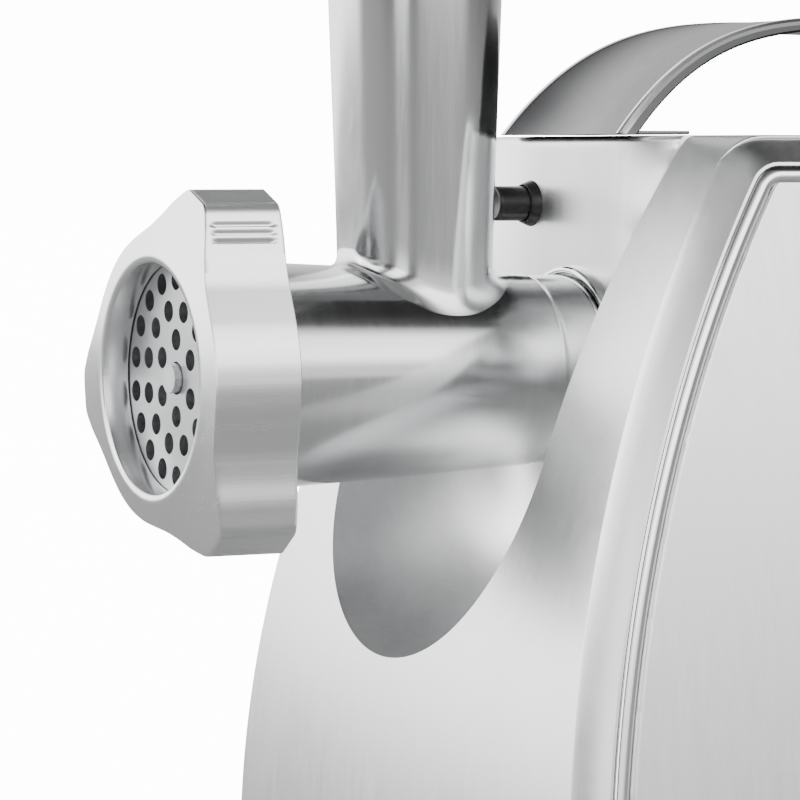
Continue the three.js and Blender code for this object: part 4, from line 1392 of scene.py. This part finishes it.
@dataclass
class Fittings:
    """The collar, release button, controls, feet and cord gland."""

    bench: Bench
    button_x: float = -20.0
    button_z: float = 41.0
    button: Profile = ((0.0, 102.2), (2.6, 101.7), (3.5, 100.9), (4.0, 100.9), (4.4, 101.6), (4.4, 111.8),
                       (4.1, 112.0), (4.1, 118.0), (0.0, 118.0))
    well: Profile = ((4.5, 112.6), (4.55, 109.6), (4.9, 109.4), (5.4, 110.6), (5.9, 111.9), (6.0, 112.6))
    collar: Profile = ((23.8, 114.7), (23.8, 110.2), (24.1, 109.8), (25.0, 109.8), (25.5, 110.4),
                       (25.5, 114.7), (23.8, 114.7))
    spring_front: float = 121.1
    spring_back: float = 127.2
    spring_radius: float = 3.6
    spring_turns: int = 3
    spring_facets: int = 28
    spring_keep: float = 0.43
    wire: float = 0.45
    side: float = -96.5
    control_z: float = -88.0
    plate_back: float = -83.0
    plate_face: float = -93.5
    plate_middle: float = 190.0
    plate_shape: tuple[float, float, float] = (32.0, 17.0, 14.0)
    keys: tuple[tuple[str, float, float], ...] = (("power", 178.0, 10.0), ("reverse", 207.0, 7.0))
    key_gap: float = 0.35
    key_back: float = -84.0
    foot_x: float = 66.0
    feet_y: tuple[float, float] = (90.0, 290.0)
    foot_top: float = -159.3
    foot: Profile = ((0.0, -3.0), (5.3, -3.0), (5.5, -5.5), (5.9, -5.7), (9.1, -5.7), (9.6, -5.3),
                     (10.9, -0.3), (10.6, 0.0), (0.0, 0.0))
    gland_z: float = -135.0
    gland: Profile = ((3.9, 314.2), (9.8, 314.2), (9.8, 317.3), (8.0, 317.5), (7.9, 323.6), (7.2, 324.5),
                      (5.0, 324.5), (3.9, 323.9), (3.9, 314.2))

    def turned(self, name: str, profile: Profile, axis: Axis, centre: Spot, round_by: float, facets: int,
               steps: int = 3) -> Workpiece:
        """Turns one small round piece.

        Args:
            name: The piece's name.
            profile: Points of radius and distance along the axis.
            axis: The line that it is turned about.
            centre: A point on that line.
            round_by: How far its corners are rounded.
            facets: Facets around.
            steps: Segments in each rounded corner.

        Returns:
            The shaped mesh.
        """
        work = Workpiece(name)
        work.turn(fillet(profile, round_by, steps), axis, centre, facets)
        return work

    def build_collar(self) -> None:
        """The bright collar ring of the port."""
        work = self.turned("port_ring", self.collar, Axis.Y, (0, 0, 0), 0.3, 144)
        work.finish(self.bench, Look.TRIM, "housing", ["port_collar"])

    def build_release(self) -> None:
        """The release button and the dark well round it."""
        spot = (self.button_x, 0, self.button_z)
        button = self.turned("release_knob", self.button, Axis.Y, spot, 0.5, 64)
        button.finish(self.bench, Look.BLACK, "release", ["release_button"])
        well = self.turned("release_well", self.well, Axis.Y, spot, 0.3, 64)
        well.finish(self.bench, Look.BLACK, "housing", [])

    def build_spring(self) -> None:
        """The coil spring behind the release button."""
        work = Workpiece("release_coil")
        steps = self.spring_facets * self.spring_turns
        loops = []
        for i in range(steps + 1):
            a = 2 * math.pi * i / self.spring_facets
            y = blend(self.spring_front, self.spring_back, i / steps)
            out = Vector((math.sin(a), 0, math.cos(a)))
            centre = out * self.spring_radius + Vector((self.button_x, y, self.button_z))
            ring = [centre + out * across + Vector((0, along, 0))
                    for across, along in round_hole(0, 0, self.wire, 10)]
            loops.append([tuple(point) for point in ring + ring[:1]])
        work.skin(loops)
        work.close_ends()
        spring = work.finish(self.bench, Look.STEEL, "housing", ["latch_spring"])
        anchor = self.bench.datum.to_row() @ Vector((self.button_x, self.spring_back + 0.5, self.button_z))
        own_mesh(spring)

    def build_controls(self) -> None:
        """The control plate, the power button and the reverse button."""
        plate = Workpiece("control_plate")
        half_y, half_z, corner = self.plate_shape
        outline = [(self.plate_middle + y, self.control_z + z)
                   for y, z in round_box(half_y, half_z, corner, 12)[:-1]]
        bores = [round_hole(y, self.control_z, radius + self.key_gap, 48) for _, y, radius in self.keys]
        borders = [[(self.plate_back, y, z) for y, z in border] for border in [outline, *bores]]
        moved = plate.cut_plate(borders, (-1, 0, 0), (self.plate_face - self.plate_back, 0, 0))
        rim = [edge for edge in plate.bm.edges
               if set(edge.verts) <= moved and edge.calc_face_angle(0.0) > math.radians(60)]
        plate.soften(rim, 1.0, 4)
        plate.finish(self.bench, Look.BLACK, "housing", ["control_bezel"])
        for name, y, radius in self.keys:
            profile = [(0.0, self.side + 0.9), (radius * 0.55, self.side + 0.7),
                       (radius - 1.4, self.side + 0.15), (radius - 0.6, self.side),
                       (radius, self.side + 0.8), (radius, self.key_back), (0.0, self.key_back)]
            work = self.turned(f"{name}_key", profile, Axis.X, (0, y, self.control_z), 0.5, 64)
            work.finish(self.bench, Look.GREY, name, [f"{name}_button"])

    def build_feet(self) -> None:
        """Four rubber feet, and the rubber gland of the cord."""
        spots = [(x, y, self.foot_top) for x in (-self.foot_x, self.foot_x) for y in self.feet_y]
        for number, spot in enumerate(spots, 1):
            foot = self.turned(f"rubber_foot_{number}", self.foot, Axis.Z, spot, 0.3, 48, 2)
            foot.finish(self.bench, Look.RUBBER, "housing", [f"foot_{number}"])
        gland = self.turned("cord_grommet", self.gland, Axis.Y, (0, 0, self.gland_z), 0.3, 64, 2)
        gland.finish(self.bench, Look.RUBBER, "housing", ["cord_gland"])


def show_cad(bench: Bench) -> None:
    """Gives every CAD node that is still shown the finish of its slot.

    Args:
        bench: The finishes.
    """
    looks = {look.value.name: look for look in Look}
    slots = {part["node"]: part["material_slot"] for part in frame["record"]["subparts"]}
    for name, node in frame["nodes"].items():
        node.data.materials.clear()
        node.data.materials.append(bench.material(looks[slots[name]]))


@dataclass(frozen=True)
class Studio:
    """The floor, the light and the camera."""

    datum: Datum
    azimuth: float = 62.3
    distance: float = 1000.0
    aim: float = 56.55
    eye: float = 52.0
    tilt: float = 3.27
    lens: float = 189.0
    strength: float = 4.2
    backdrop: float = 14.0
    box_level: float = 0.6
    front_level: float = 0.9
    side_box: tuple[tuple[float, float], ...] = ((118.0, 25.0), (26.0, 43.0), (8.0, 17.0))
    front_box: tuple[tuple[float, float], ...] = ((-2.0, 36.0), (22.0, 34.0), (12.0, 22.0))
    floor_half: float = 12.0
    floor_grey: float = 0.3
    round_walls: tuple[tuple[float, float], ...] = (
        (-180.0, 0.06), (-120.0, 0.3), (-90.0, 0.85), (-50.0, 1.0), (-22.0, 1.0), (-12.0, 0.15),
        (14.0, 0.12), (26.0, 0.02), (35.0, 0.02), (38.0, 1.0), (52.0, 1.0), (55.0, 0.03),
        (64.0, 0.04), (70.0, 0.42),
        (126.0, 0.42), (140.0, 0.07), (180.0, 0.06))
    up_walls: tuple[tuple[float, float], ...] = (
        (-90.0, 0.1), (-30.0, 0.12), (-12.0, 0.75), (0.0, 0.95), (14.0, 1.0), (34.0, 0.8), (50.0, 0.16),
        (64.0, 0.07), (90.0, 0.05))

    def place_camera(self) -> None:
        """Sets the camera level with the head, a little above it, looking down slightly."""
        turn = math.radians(self.azimuth)
        back = Vector((math.sin(turn), -math.cos(turn), 0))
        right = Vector((math.cos(turn), math.sin(turn), 0))
        spot = back * self.distance + right * self.aim + Vector((0, 0, self.eye))
        camera = bpy.data.cameras.new("studio_camera")
        camera.lens = self.lens
        camera.sensor_width = 36.0
        camera.clip_end = 50.0
        holder = bpy.data.objects.new("studio_camera", camera)
        bpy.context.scene.collection.objects.link(holder)
        holder.location = self.datum.to_row() @ spot
        holder.rotation_euler = (math.radians(90 - self.tilt), 0, turn)
        bpy.context.scene.camera = holder

    def lay_floor(self) -> None:
        """A pale floor, far larger than the object."""
        mesh = bpy.data.meshes.new("floor")
        work = bmesh.new()
        bmesh.ops.create_grid(work, x_segments=2, y_segments=2, size=self.floor_half)
        work.to_mesh(mesh)
        work.free()
        floor = bpy.data.objects.new("floor", mesh)
        bpy.context.scene.collection.objects.link(floor)
        material = bpy.data.materials.new("pale_floor")
        material.use_nodes = True
        shader = material.node_tree.nodes["Principled BSDF"]
        wires = Wiring(material.node_tree)
        shader.inputs["Base Color"].default_value = (self.floor_grey, self.floor_grey, self.floor_grey, 1.0)
        shader.inputs["Roughness"].default_value = 0.7
        shader.inputs["Emission Strength"].default_value = self.backdrop
        path = wires.node("LightPath")
        glow = wires.node("Mix", data_type="RGBA")
        glow.inputs["A"].default_value = (0.0, 0.0, 0.0, 1.0)
        glow.inputs["B"].default_value = (1.0, 1.0, 1.0, 1.0)
        wires.join(path.outputs["Is Camera Ray"], glow.inputs["Factor"])
        wires.join(glow.outputs["Result"], shader.inputs["Emission Color"])
        mesh.materials.append(material)

    def light(self) -> None:
        """A white room with a dark ceiling and dark flags, which the metal reflects."""
        world = bpy.data.worlds.new("studio")
        world.use_nodes = True
        bpy.context.scene.world = world
        wires = Wiring(world.node_tree)
        background = world.node_tree.nodes["Background"]
        place = wires.node("TexCoord")
        parts = wires.node("SeparateXYZ")
        wires.join(place.outputs["Generated"], parts.inputs[0])
        turn = wires.math("ARCTAN2", parts.outputs["X"], wires.math("MULTIPLY", parts.outputs["Y"], -1.0))
        rise = wires.math("ARCSINE", parts.outputs["Z"], 0.0)
        around = self.ramp(wires, turn, math.pi, self.round_walls)
        upward = self.ramp(wires, rise, math.pi / 2, self.up_walls)
        walls = wires.math("MULTIPLY", around, upward)
        side_box = self.soft_box(wires, turn, rise, *self.side_box)
        front_box = self.soft_box(wires, turn, rise, *self.front_box)
        boxes = wires.math("ADD", wires.math("MULTIPLY", side_box, self.box_level),
                           wires.math("MULTIPLY", front_box, self.front_level))
        level = wires.math("ADD", walls, boxes)
        path = wires.node("LightPath")
        mix = wires.node("Mix", data_type="FLOAT")
        wires.join(path.outputs["Is Camera Ray"], mix.inputs["Factor"])
        wires.join(level, mix.inputs["A"])
        mix.inputs["B"].default_value = self.backdrop / self.strength
        background.inputs["Color"].default_value = (1.0, 1.0, 1.0, 1.0)
        glow = wires.math("MULTIPLY", mix.outputs["Result"], self.strength)
        wires.join(glow, background.inputs["Strength"])

    def soft_box(self, wires: Wiring, turn: bpy.types.NodeSocket, rise: bpy.types.NodeSocket,
                 aim: tuple[float, float], wide: tuple[float, float], tall: tuple[float, float],
                 ) -> bpy.types.NodeSocket:
        """A bright panel in the room with soft edges.

        Args:
            wires: The node tree's wiring.
            turn: The angle round the room, in radians.
            rise: The angle above level, in radians.
            aim: The panel's middle, in degrees.
            wide: Degrees from its middle at which it starts to fade and is gone, sideways.
            tall: The same, upwards.

        Returns:
            1 on the panel and 0 away from it.
        """
        masks = []
        for angle, spot, (full, gone) in ((turn, aim[0], wide), (rise, aim[1], tall)):
            off = wires.math("ABSOLUTE", wires.math("SUBTRACT", angle, math.radians(spot)), 0.0)
            masks.append(wires.spread(off, math.radians(full), math.radians(gone), 1.0, 0.0))
        return wires.math("MULTIPLY", masks[0], masks[1])

    def ramp(self, wires: Wiring, angle: bpy.types.NodeSocket, reach: float,
             stops: Sequence[tuple[float, float]]) -> bpy.types.NodeSocket:
        """A brightness that changes with an angle.

        Args:
            wires: The node tree's wiring.
            angle: The angle's socket, in radians.
            reach: The angle at both ends of the ramp.
            stops: Angles in degrees and their brightness.

        Returns:
            The brightness.
        """
        made = wires.node("ValToRGB")
        wires.join(wires.spread(angle, -reach, reach, 0.0, 1.0), made.inputs["Fac"])
        elements = made.color_ramp.elements
        while len(elements) < len(stops):
            elements.new(0.5)
        for element, (degrees, level) in zip(elements, stops):
            element.position = (math.radians(degrees) / reach + 1) / 2
            element.color = (level, level, level, 1.0)
        return made.outputs["Color"]


def main() -> None:
    """Builds the pieces in order."""
    logging.basicConfig(level=logging.INFO, format="%(message)s")
    datum = Datum.from_frame()
    bench = Bench(datum)
    studio = Studio(datum)
    studio.place_camera()
    studio.lay_floor()
    studio.light()
    show_cad(bench)
    housing = Housing(bench)
    housing.build_front_shell()
    housing.build_rear_shell()
    housing.build_sides()
    CarryHandle(bench).build()
    head = GrinderHead(bench)
    head.build_casting()
    head.build_ring()
    head.build_plate()
    feeding = Feeding(bench)
    feeding.build_tray()
    feeding.build_pusher()
    fittings = Fittings(bench)
    fittings.build_collar()
    fittings.build_release()
    fittings.build_spring()
    fittings.build_controls()
    fittings.build_feet()


if __name__ == "__main__":
    main()
